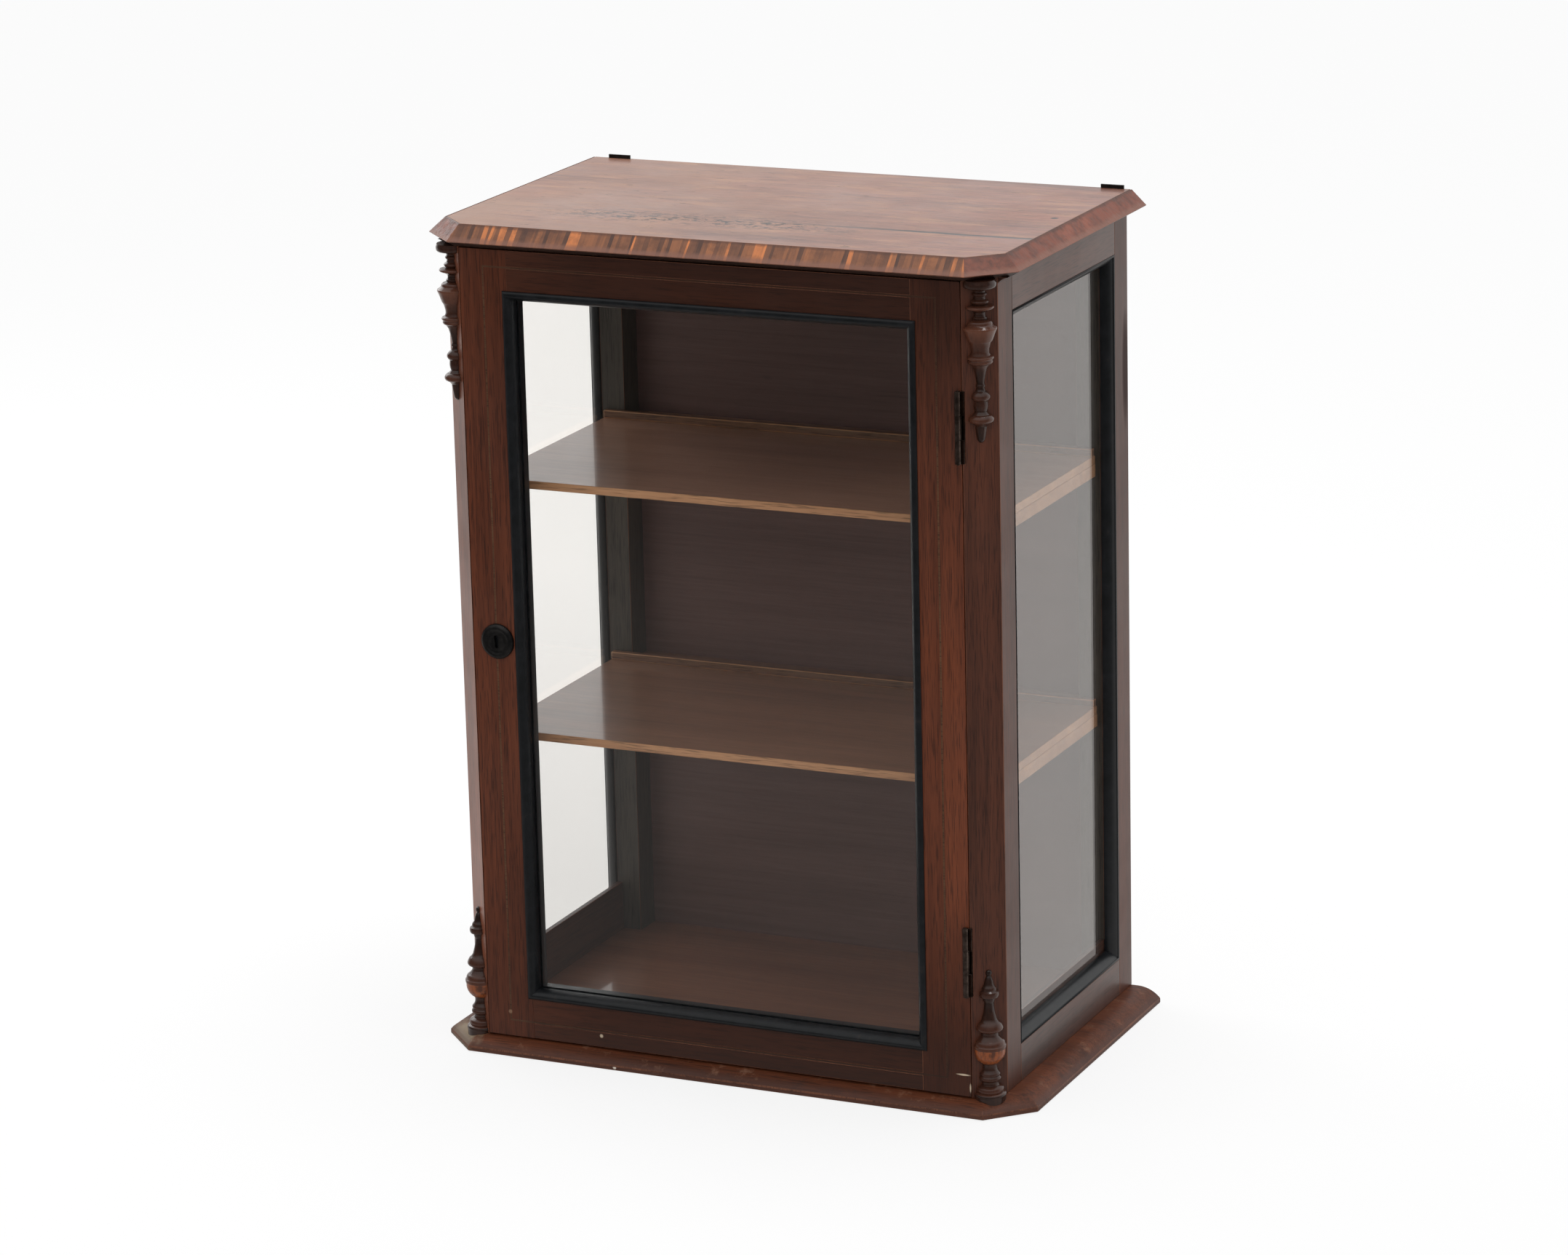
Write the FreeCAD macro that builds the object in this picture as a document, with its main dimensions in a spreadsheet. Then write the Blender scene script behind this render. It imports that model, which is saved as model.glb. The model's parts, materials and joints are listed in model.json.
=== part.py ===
import FreeCAD, Part
import math
import os
import Sketcher
from FreeCAD import Placement, Rotation, Vector

# Small glazed display cabinet: a case with canted front corners on a moulded base, a bevelled
# top, one glazed door on two butt hinges, two shelves and half-round turnings on the cants.
# Lengths are in millimetres. The origin is the middle of the underside of the base, +X is the
# right as seen from the front, -Y is the front and +Z is up.

SIZES = {
    # case
    "case_width": 528.6,
    "case_depth": 333.5,
    "case_height": 736.6,
    "cant_leg": 24.3,
    "side_thickness": 19.5,
    "fit_gap": 0.3,
    "front_stile": 32.0,
    "front_lip": 10.0,
    "rear_post_width": 38.0,
    "rear_stile": 31.3,
    "top_rail_height": 35.0,
    "top_rail_lip": 12.0,
    "bottom_rail_height": 35.0,
    "bottom_rail_lip": 20.0,
    "side_rebate": 14.5,
    "side_tenon_length": 15.0,
    "side_tenon_thickness": 7.0,
    "side_tenon_shoulder": 6.0,
    "back_thickness": 7.5,
    "back_cheek": 12.0,
    "back_lower_height": 252.0,
    "back_middle_height": 251.0,
    "back_seam": 0.4,
    "floor_thickness": 8.6,
    # glass and its mouldings
    "glass_thickness": 3.0,
    "glass_gap": 0.5,
    "moulding_width": 9.2,
    "side_fillet_width": 2.0,
    "side_fillet_drop": 0.8,
    "side_inner_edge": 1.6,
    "side_ovolo_bulge": 1.5,
    "door_moulding_lap": 4.2,
    "door_moulding_rise": 3.0,
    "door_moulding_edge": 0.9,
    "door_moulding_inner_edge": 1.7,
    "door_inner_bulge": 1.3,
    "door_outer_bulge": 0.8,
    # base
    "base_thickness": 14.4,
    "base_side_overhang": 28.7,
    "base_front_overhang": 13.5,
    "base_corner": 37.7,
    "base_edge_height": 4.4,
    "base_round_run": 22.0,
    "base_round_bulge": 2.6,
    # top
    "top_thickness": 19.0,
    "top_side_overhang": 18.7,
    "top_front_overhang": 8.4,
    "top_corner": 36.0,
    "top_bevel_run": 14.0,
    "top_bevel_drop": 13.5,
    "top_undercut_run": 9.0,
    "veneer_shift": 1.4,
    "cove_height": 5.5,
    "cove_run": 9.0,
    "cove_hollow": 0.9,
    # shelves
    "shelf_thickness": 7.6,
    "shelf_setback": 43.2,
    "lower_shelf_rise": 272.0,
    "upper_shelf_drop": 220.0,
    "strip_height": 7.4,
    "strip_thickness": 7.0,
    "strip_offset": 2.0,
    "cleat_width": 12.0,
    "cleat_height": 12.0,
    "cleat_setback": 1.0,
    # door
    "door_thickness": 22.0,
    "door_side_gap": 0.8,
    "door_top_gap": 1.0,
    "door_bottom_gap": 1.2,
    "door_stile_width": 45.8,
    "door_top_rail_height": 40.6,
    "door_bottom_rail_height": 42.1,
    "door_glass_depth": 8.0,
    "door_tenon_length": 28.0,
    "door_tenon_thickness": 7.5,
    "door_tenon_shoulder": 6.0,
    "bead_width": 6.0,
    "bead_depth": 9.0,
    "stringing_width": 1.6,
    "stringing_depth": 1.2,
    "stringing_side": 22.8,
    "stringing_end": 15.3,
    "stop_width": 12.0,
    "stop_thickness": 12.0,
    "stop_gap": 0.5,
    # lock
    "lock_lift": 8.4,
    "lock_backset": 24.1,
    "lock_width": 36.0,
    "lock_height": 54.0,
    "lock_depth": 10.0,
    "lock_wall": 1.5,
    "lock_flange": 7.0,
    "bolt_length": 20.0,
    "bolt_height": 14.0,
    "bolt_thickness": 3.2,
    "bolt_clearance": 0.2,
    "bolt_setback": 0.3,
    "bolt_mortise_depth": 10.0,
    "strike_width": 9.0,
    "strike_height": 40.0,
    "strike_thickness": 1.5,
    "keyhole_radius": 2.4,
    "keyhole_slot": 2.0,
    "keyhole_drop": 8.0,
    "escutcheon_radius": 16.2,
    "escutcheon_height": 4.2,
    # hinges
    "hinge_length": 63.5,
    "hinge_lower_rise": 126.4,
    "hinge_upper_drop": 127.9,
    "hinge_projection": 1.8,
    "hinge_inset": 2.8,
    "barrel_radius": 2.6,
    "barrel_clearance": 0.3,
    "knuckle_gap": 0.2,
    "pin_radius": 1.3,
    "pin_clearance": 0.05,
    "pin_end": 0.8,
    "leaf_thickness": 1.6,
    "leaf_depth": 16.0,
    "hinge_screw_pitch": 21.0,
    # screws
    "screw_head_radius": 2.6,
    "screw_head_depth": 0.9,
    "screw_radius": 1.3,
    "screw_length": 6.4,
    "lock_screw_inset": 3.4,
    "strike_screw_inset": 4.5,
    # hangers
    "hanger_width": 22.0,
    "hanger_height": 46.0,
    "hanger_thickness": 2.0,
    "hanger_rise": 3.4,
    "left_hanger_inset": 22.3,
    "right_hanger_inset": 13.3,
    "hanger_hole_radius": 2.4,
    "hanger_hole_drop": 13.0,
    "hanger_pocket_width": 9.0,
    "hanger_pocket_height": 14.0,
    "hanger_pocket_depth": 8.0,
    "hanger_screw_pitch": 12.0,
    "hanger_screw_inset": 6.0,
    # turnings
    "finial_scribe": 5.4,
}

# Bands of the turnings, from the end on the cap or foot: name, length and radius.
# A band without a radius is a taper that joins its two neighbours.
DROP_BANDS = [
    ("cap", 4.4, 11.8),
    ("throat", 15.0, 5.4),
    ("collar", 4.8, 11.2),
    ("neck", 10.6, 5.4),
    ("vase", 8.8, 15.0),
    ("vase_taper", 10.4),
    ("vase_foot", 9.4, 8.4),
    ("ring", 6.2, 11.4),
    ("under_ring", 5.6, 8.2),
    ("stem", 21.8, 4.0),
    ("disc", 6.0, 8.6),
    ("waist", 14.0, 5.2),
    ("bud", 7.0, 9.6),
    ("tip", 16.4, 4.0),
]
FINIAL_BANDS = [
    ("foot", 11.0, 15.0),
    ("ankle", 8.0, 8.8),
    ("lower_disc", 4.6, 10.4),
    ("throat", 11.2, 7.4),
    ("ball_slope", 10.0),
    ("ball", 8.6, 15.0),
    ("neck", 12.2, 8.2),
    ("disc", 5.4, 12.0),
    ("stem", 28.6, 5.0),
    ("bead", 6.4, 8.2),
    ("tip", 16.6, 3.2),
]


def add_band_sizes(prefix, bands):
    for band, length, *radius in bands:
        SIZES["%s_%s_length" % (prefix, band)] = length
        if radius:
            SIZES["%s_%s_radius" % (prefix, band)] = radius[0]


add_band_sizes("drop", DROP_BANDS)
add_band_sizes("finial", FINIAL_BANDS)

CHAMFER_SHRINK = 2.0 - math.sqrt(2.0)


class Size:
    """A length that carries its present value and the sheet formula that drives it."""

    def __init__(self, value, formula):
        self.value = float(value)
        self.formula = formula

    @staticmethod
    def of(other):
        if isinstance(other, Size):
            return other
        return Size(other, "%.9g" % other)

    def mixed(self, other, sign, value):
        return Size(value, "(%s %s %s)" % (self.formula, sign, Size.of(other).formula))

    def __add__(self, other):
        return self.mixed(other, "+", self.value + Size.of(other).value)

    def __sub__(self, other):
        return self.mixed(other, "-", self.value - Size.of(other).value)

    def __mul__(self, other):
        return self.mixed(other, "*", self.value * Size.of(other).value)

    def __truediv__(self, other):
        return self.mixed(other, "/", self.value / Size.of(other).value)

    def __radd__(self, other):
        return Size.of(other) + self

    def __rsub__(self, other):
        return Size.of(other) - self

    def __rmul__(self, other):
        return Size.of(other) * self

    def __neg__(self):
        return Size.of(0) - self


doc = FreeCAD.newDocument("display_cabinet")
sheet = doc.addObject("Spreadsheet::Sheet", "Sizes")
for row, (alias, number) in enumerate(SIZES.items(), start=1):
    sheet.set("A%d" % row, alias)
    sheet.set("B%d" % row, "%.9g" % number)
    sheet.setAlias("B%d" % row, alias)
doc.recompute()

S = {alias: Size(number, "Sizes.%s" % alias) for alias, number in SIZES.items()}
SUBPARTS = []

X_AXIS = Vector(1, 0, 0)
Y_AXIS = Vector(0, 1, 0)
Z_AXIS = Vector(0, 0, 1)


def bind(item, prop, size):
    item.setExpression(prop, Size.of(size).formula)


def locate(item, point, turn=None):
    """Put an object at a point of the sheet's sizes, turned as given."""
    start = Vector(*[Size.of(value).value for value in point])
    item.Placement = Placement(start, turn or Rotation())
    for axis, value in zip("xyz", point):
        bind(item, "Placement.Base." + axis, value)
    return item


def keep(node, item):
    """Give a finished sub-part its name and list it for writing."""
    item.Label = node
    SUBPARTS.append(item)
    return item


def block(name, low, high):
    item = doc.addObject("Part::Box", name)
    for prop, first, last in zip(("Length", "Width", "Height"), low, high):
        bind(item, prop, last - first)
    return locate(item, low)


def turned_to(direction):
    return Rotation(Z_AXIS, direction)


def rod(name, start, direction, radius, length):
    item = doc.addObject("Part::Cylinder", name)
    bind(item, "Radius", radius)
    bind(item, "Height", length)
    return locate(item, start, turned_to(direction))


def bar(name, start, direction, radius, length):
    """Six-sided bar."""
    item = doc.addObject("Part::Prism", name)
    item.Polygon = 6
    bind(item, "Circumradius", radius)
    bind(item, "Height", length)
    return locate(item, start, turned_to(direction))


def fuse(name, items):
    item = doc.addObject("Part::MultiFuse", name)
    item.Shapes = items
    return item


def group(name, items):
    item = doc.addObject("Part::Compound", name)
    item.Links = items
    return item


def cut(name, base, tools):
    """Take several tools out of a base, one after the other."""
    item = base
    for number, tool in enumerate(tools, start=1):
        step = doc.addObject("Part::Cut", "%s_cut%d" % (name, number))
        step.Base = item
        step.Tool = tool
        item = step
    return item


def sketch_on(body, role, name):
    sketch = body.newObject("Sketcher::SketchObject", name)
    plane = [item for item in body.Origin.OriginFeatures if item.Role == role][0]
    sketch.AttachmentSupport = [(plane, "")]
    sketch.MapMode = "FlatFace"
    return sketch


def curve(first, last, bulge):
    """A line, or an arc that bulges to the right of its way; with the places of its two ends."""
    start = Vector(first[0], first[1], 0)
    end = Vector(last[0], last[1], 0)
    if not bulge:
        return Part.LineSegment(start, end), 1, 2
    chord = end - start
    side = Vector(chord.y, -chord.x, 0).normalize()
    radius = (chord.Length ** 2 / 4 + bulge ** 2) / (2 * abs(bulge))
    centre = (start + end) * 0.5 + side * (bulge - math.copysign(radius, bulge))
    circle = Part.Circle(centre, Z_AXIS, radius)
    angles = [math.atan2(point.y - centre.y, point.x - centre.x) for point in (start, end)]
    if bulge > 0:
        return Part.ArcOfCircle(circle, angles[0], angles[1]), 1, 2
    return Part.ArcOfCircle(circle, angles[1], angles[0]), 2, 1


def pin_down(sketch, kind, places, size):
    index = sketch.addConstraint(Sketcher.Constraint(kind, *places, Size.of(size).value))
    if isinstance(size, Size):
        sketch.setExpression("Constraints[%d]" % index, size.formula)


def pin_point(sketch, edge, end, point):
    for kind, axis, size in (("DistanceX", -2, point[0]), ("DistanceY", -1, point[1])):
        if isinstance(size, Size):
            pin_down(sketch, kind, (-1, 1, edge, end), size)
        else:
            sketch.addConstraint(Sketcher.Constraint("PointOnObject", edge, end, axis))


def draw(sketch, corners):
    """Closed outline, anticlockwise; a corner's third entry bulges the edge that leaves it."""
    count = len(corners)
    ends = []
    for number in range(count):
        here = [Size.of(value).value for value in corners[number]]
        after = [Size.of(value).value for value in corners[(number + 1) % count]]
        bulge = here[2] if len(here) > 2 else 0.0
        shape, first, last = curve(here, after, bulge)
        sketch.addGeometry(shape, False)
        ends.append((first, last))
    for number in range(count):
        after = (number + 1) % count
        places = (number, ends[number][1], after, ends[after][0])
        sketch.addConstraint(Sketcher.Constraint("Coincident", *places))
    for number in range(count):
        corner = corners[number]
        pin_point(sketch, number, ends[number][0], corner)
        if len(corner) > 2 and isinstance(corner[2], Size):
            after = corners[(number + 1) % count]
            run = after[0] - corner[0]
            rise = after[1] - corner[1]
            bulge = corner[2] if corner[2].value > 0 else -corner[2]
            radius = ((run * run + rise * rise) / 4 + bulge * bulge) / (2 * bulge)
            pin_down(sketch, "Radius", (number,), radius)
    return sketch


def prism(name, role, corners, length, centred=False):
    """Outline on one of the body's own planes, padded along that plane's normal."""
    body = doc.addObject("PartDesign::Body", name)
    sketch = draw(sketch_on(body, role, name + "_outline"), corners)
    pad = body.newObject("PartDesign::Pad", name + "_pad")
    pad.Profile = sketch
    pad.SideType = "Symmetric" if centred else "One side"
    bind(pad, "Length", length)
    return body


def loft(body, name, sections):
    """Ruled loft through outlines given with their levels."""
    sketches = []
    for number, (level, corners) in enumerate(sections):
        sketch = sketch_on(body, "XY_Plane", "%s_section%d" % (name, number))
        bind(sketch, "AttachmentOffset.Base.z", level)
        sketches.append(draw(sketch, corners))
    item = body.newObject("PartDesign::AdditiveLoft", name)
    item.Profile = sketches[0]
    item.Sections = sketches[1:]
    item.Ruled = True
    return item


def mirrored(corners):
    return [(-corner[0], corner[1]) for corner in reversed(corners)]


def canted_outline(half_width, front_line, rear_line, corner, inset=0.0):
    """Six corners of a board whose front corners are cut, set in evenly at front and sides."""
    half = half_width - inset
    line = front_line + inset
    leg = corner - inset * CHAMFER_SHRINK
    right = [(half - leg, line), (half, line + leg), (half, rear_line)]
    return mirrored(right) + right


def mitred_frame(name, profile, width, corners, across, outward, run):
    """Four mitred strips round a rectangle; profile is (inward, outward) from the outer edge."""
    strips = []
    back = across.negative()
    down = Z_AXIS.negative()
    ways = [(across, Z_AXIS), (Z_AXIS, back), (back, down), (down, across)]
    for number, (along, inward) in enumerate(ways):
        length = run[number % 2]
        strip_name = "%s_strip%d" % (name, number)
        body = prism(strip_name, "YZ_Plane", profile, length)
        for end in range(2):
            far = length * end
            near = far + width * (1 - 2 * end)
            sketch = sketch_on(body, "XY_Plane", "%s_mitre%d" % (strip_name, end))
            draw(sketch, [(far, 0), (near, width), (far, width)])
            pocket = body.newObject("PartDesign::Pocket", "%s_pocket%d" % (strip_name, end))
            pocket.Profile = sketch
            pocket.SideType = "Symmetric"
            pocket.Type = "ThroughAll"
        locate(body, corners[number], Rotation(along, inward, outward, "XYZ"))
        strips.append(body)
    return group(name, strips)


def screw(name, point, direction):
    """Sunk-head screw with its head flush at the point, driven along the direction."""
    head = bar(name + "_head", point, direction, S["screw_head_radius"], S["screw_head_depth"])
    shank = bar(name + "_shank", point, direction, S["screw_radius"], S["screw_length"])
    return fuse(name, [head, shank])


def turning(name, prefix, bands, way):
    """Half-round turning, up or down the local Z axis: flat on the XZ plane, round towards +Y."""
    level = Size.of(0)
    points = [(0, 0)]
    for band, *sizes in bands:
        start = level
        level = level + S["%s_%s_length" % (prefix, band)] * way
        if len(sizes) > 1:
            radius = S["%s_%s_radius" % (prefix, band)]
            points += [(radius, start), (radius, level)]
    points.append((0, level))
    points[1] = (points[1][0], 0)
    body = doc.addObject("PartDesign::Body", name)
    sketch = draw(sketch_on(body, "XZ_Plane", name + "_profile"), points)
    spin = body.newObject("PartDesign::Revolution", name + "_spin")
    spin.Profile = sketch
    spin.ReferenceAxis = (sketch, ["V_Axis"])
    spin.Angle = 180
    return body


# Main planes of the case
half_case = S["case_width"] / 2
half_depth = (S["case_depth"] + S["base_front_overhang"]) / 2
rear = half_depth
front = rear - S["case_depth"]
case_low = S["base_thickness"]
case_high = case_low + S["case_height"]
half_opening = half_case - S["cant_leg"]
cant_rear = front + S["cant_leg"]
inner = half_case - S["side_thickness"]
rebate = half_case - S["side_rebate"]
door_back = front + S["door_thickness"]
stile_end = cant_rear + S["front_stile"]
front_lip_end = stile_end + S["front_lip"]
rear_stile_start = rear - S["rear_stile"]
rear_post_front = rear - S["rear_post_width"]
rear_post_inner = half_case - S["rear_post_width"]
back_front = rear - S["back_thickness"]
back_edge = half_case - S["back_cheek"]
floor_top = case_low + S["floor_thickness"]
gap = S["fit_gap"]
SIDES = (("left", -1), ("right", 1))


def span(sign, first, last):
    """Two places across the case, in rising order, for the right side or its mirror image."""
    return (first, last) if sign > 0 else (-last, -first)


# Screws are made first, because they also bore their own holes.
door_edge = half_opening - S["door_side_gap"]
hinge_x = door_edge - S["hinge_inset"]
hinge_y = front - S["hinge_projection"]
door_low = case_low + S["door_bottom_gap"]
door_high = case_high - S["door_top_gap"]
plate_front = hinge_y + S["barrel_radius"] + S["barrel_clearance"]
plate_back = plate_front + S["leaf_depth"]
plate_middle = (plate_front + plate_back) / 2
HINGES = (("upper", case_high - S["hinge_upper_drop"]), ("lower", case_low + S["hinge_lower_rise"]))

post_screws = []
door_screws = []
for place, level in HINGES:
    for number in (-1, 0, 1):
        height = level + S["hinge_screw_pitch"] * number
        tag = "%s_hinge_screw%d" % (place, number + 2)
        post_screws.append(screw(tag + "_post", (half_opening, plate_middle, height), X_AXIS))
        door_screws.append(screw(tag + "_door", (door_edge, plate_middle, height), X_AXIS.negative()))
hinge_post_screws = keep("hinge_post_screws", group("hinge_post_screws", post_screws))
hinge_door_screws = keep("hinge_door_screws", group("hinge_door_screws", door_screws))

bolt_middle = door_back - S["lock_depth"] / 2
lock_level = (door_low + door_high) / 2 + S["lock_lift"]
lock_inner = -door_edge + S["lock_width"]
flange_half = S["lock_height"] / 2 + S["lock_flange"]
lock_screw_list = []
strike_screw_list = []
for number in (-1, 1):
    height = lock_level + (flange_half - S["lock_screw_inset"]) * number
    middle = -door_edge + S["lock_width"] / 2
    lock_screw_list.append(screw("lock_screw%d" % (number + 2), (middle, door_back, height),
                                 Y_AXIS.negative()))
    height = lock_level + (S["strike_height"] / 2 - S["strike_screw_inset"]) * number
    strike_screw_list.append(screw("strike_screw%d" % (number + 2), (-half_opening, bolt_middle, height),
                                   X_AXIS.negative()))
lock_screws = keep("lock_screws", group("lock_screws", lock_screw_list))
strike_screws = keep("strike_screws", group("strike_screws", strike_screw_list))

case_top = case_high + S["top_thickness"]
hanger_high = case_top + S["hanger_rise"]
hanger_low = hanger_high - S["hanger_height"]
hanger_screw_list = []
for side, sign in SIDES:
    hanger_x = (half_case - S[side + "_hanger_inset"]) * sign
    for number in (0, 1):
        height = hanger_low + S["hanger_screw_inset"] + S["hanger_screw_pitch"] * number
        name = "%s_hanger_screw%d" % (side, number + 1)
        hanger_screw_list.append(screw(name, (hanger_x, rear, height), Y_AXIS.negative()))
hanger_screws = keep("hanger_screws", group("hanger_screws", hanger_screw_list))

# Base: a board with cut front corners and a rounded upper edge on its front and sides.
base_half = half_case + S["base_side_overhang"]
base_front = front - S["base_front_overhang"]
base_round = [
    (-S["base_edge_height"], S["base_edge_height"]),
    (0, S["base_edge_height"], -S["base_round_bulge"]),
    (S["base_round_run"], S["base_thickness"]),
    (S["base_round_run"], S["base_thickness"] * 2),
    (-S["base_edge_height"], S["base_thickness"] * 2),
]
corner_middle = base_half - S["base_corner"] / 2
corner_line = base_front + S["base_corner"] / 2
base_edges = [
    ("front", (Size.of(0), base_front), 0),
    ("right", (base_half, Size.of(0)), 90),
    ("left", (-base_half, Size.of(0)), -90),
    ("right_corner", (corner_middle, corner_line), 45),
    ("left_corner", (-corner_middle, corner_line), -45),
]
rounders = []
for edge, point, angle in base_edges:
    cutter = prism("base_%s_round" % edge, "YZ_Plane", base_round, S["case_width"] * 2, centred=True)
    rounders.append(locate(cutter, (point[0], point[1], 0), Rotation(Z_AXIS, angle)))
base_outline = canted_outline(base_half, base_front, rear, S["base_corner"])
base_board = prism("base_board", "XY_Plane", base_outline, S["base_thickness"])
base_plate = keep("base_plate", cut("base_plate", base_board, rounders))

# Top: an undercut nose, then a bevel that carries veneers up to the flat upper face.
nose_half = half_case + S["top_side_overhang"]
nose_front = front - S["top_front_overhang"]
nose_level = case_top - S["top_bevel_drop"]


def top_outline(inset):
    return canted_outline(nose_half, nose_front, rear, S["top_corner"], inset)


top_body = doc.addObject("PartDesign::Body", "top_core")
veneer = S["veneer_shift"]
ridge = S["top_bevel_run"]
loft(top_body, "top_undercut", [
    (case_high, top_outline(S["top_undercut_run"])),
    (nose_level, top_outline(Size.of(0))),
])
loft(top_body, "top_bevel", [
    (nose_level, top_outline(veneer)),
    (case_top, top_outline(ridge + veneer)),
])


def bevel_veneer(name, edge):
    """Thin sheet on one edge of the bevel, mitred to its neighbours."""
    sections = []
    for level, inset in ((nose_level, Size.of(0)), (case_top, ridge)):
        outer = top_outline(inset)
        within = top_outline(inset + veneer)
        sections.append((level, [outer[edge], outer[edge + 1], within[edge + 1], within[edge]]))
    body = doc.addObject("PartDesign::Body", name)
    loft(body, name + "_sheet", sections)
    return body


BEVEL_EDGES = ("left_side", "left_corner", "front", "right_corner", "right_side")
sheets = {place: bevel_veneer(place + "_bevel_sheet", edge) for edge, place in enumerate(BEVEL_EDGES)}
keep("front_bevel_banding", sheets.pop("front"))
keep("bevel_veneers", group("bevel_veneers", list(sheets.values())))

hanger_gains = []
hanger_pockets = []
for side, sign in SIDES:
    hanger_x = (half_case - S[side + "_hanger_inset"]) * sign
    low = (hanger_x - S["hanger_width"] / 2, rear - S["hanger_thickness"], hanger_low)
    high = (hanger_x + S["hanger_width"] / 2, rear, hanger_high)
    plate = block(side + "_hanger_blank", low, high)
    hole_level = hanger_high - S["hanger_hole_drop"]
    hole = rod(side + "_hanger_hole", (hanger_x, rear, hole_level), Y_AXIS.negative(),
               S["hanger_hole_radius"], S["hanger_thickness"])
    half_pocket = S["hanger_pocket_width"] / 2
    pocket_rise = S["hanger_pocket_height"] / 2
    pocket_front = rear - S["hanger_thickness"] - S["hanger_pocket_depth"]
    hanger_pockets.append(block(side + "_hanger_pocket",
                                (hanger_x - half_pocket, pocket_front, hole_level - pocket_rise),
                                (hanger_x + half_pocket, rear, hole_level + pocket_rise)))
    hanger_gains.append(plate)
    keep(side + "_hanger_plate", cut(side + "_hanger_plate", plate, [hole, hanger_screws]))
keep("top_board", cut("top_board", top_body, hanger_gains + hanger_pockets))

coves = []
cove_profile = [
    (half_case, case_high - S["cove_height"], -S["cove_hollow"]),
    (half_case + S["cove_run"], case_high),
    (half_case, case_high),
]
for side, sign in SIDES:
    cove = prism(side + "_cove", "XZ_Plane", cove_profile, S["case_depth"] - S["cant_leg"])
    if sign > 0:
        coves.append(locate(cove, (0, rear, 0)))
    else:
        coves.append(locate(cove, (0, cant_rear, 0), Rotation(Z_AXIS, 180)))
keep("cornice_coves", group("cornice_coves", coves))

# Sides: front and rear posts with rails tenoned between them, glass and mitred mouldings.
front_post = [
    (half_opening, front),
    (half_case, cant_rear),
    (half_case, stile_end),
    (rebate, stile_end),
    (rebate, front_lip_end),
    (inner, front_lip_end),
    (inner, door_back + S["stop_gap"]),
    (half_opening, door_back + S["stop_gap"]),
]
rear_post = [
    (half_case, rear_stile_start),
    (half_case, rear),
    (back_edge, rear),
    (back_edge, back_front),
    (rear_post_inner, back_front),
    (rear_post_inner, rear_post_front),
    (rebate, rear_post_front),
    (rebate, rear_stile_start),
]
tenon_near = rebate + (S["side_rebate"] - S["side_tenon_thickness"]) / 2
tenon_far = tenon_near + S["side_tenon_thickness"]
pane_low = case_low + S["bottom_rail_height"]
pane_high = case_high - S["top_rail_height"]
rail_levels = {
    "top": (pane_high, case_high, pane_high - S["top_rail_lip"], case_high),
    "bottom": (case_low, pane_low, case_low, pane_low + S["bottom_rail_lip"]),
}

side_tenons = {}
for side, sign in SIDES:
    tenons = []
    for place, (low_level, high_level, lip_low, lip_high) in rail_levels.items():
        name = "%s_%s_rail" % (side, place)
        x_low, x_high = span(sign, rebate, half_case)
        outer = block(name + "_outer", (x_low, stile_end, low_level), (x_high, rear_stile_start, high_level))
        x_low, x_high = span(sign, inner, rebate)
        lip = block(name + "_lip", (x_low, front_lip_end, lip_low), (x_high, rear_post_front, lip_high))
        x_low, x_high = span(sign, tenon_near, tenon_far)
        shoulder = S["side_tenon_shoulder"]
        tenon = block(name + "_tenon",
                      (x_low, stile_end - S["side_tenon_length"], low_level + shoulder),
                      (x_high, rear_stile_start + S["side_tenon_length"], high_level - shoulder))
        tenons.append(tenon)
        keep(name, fuse(name, [outer, lip, tenon]))
    side_tenons[side] = tenons

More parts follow.
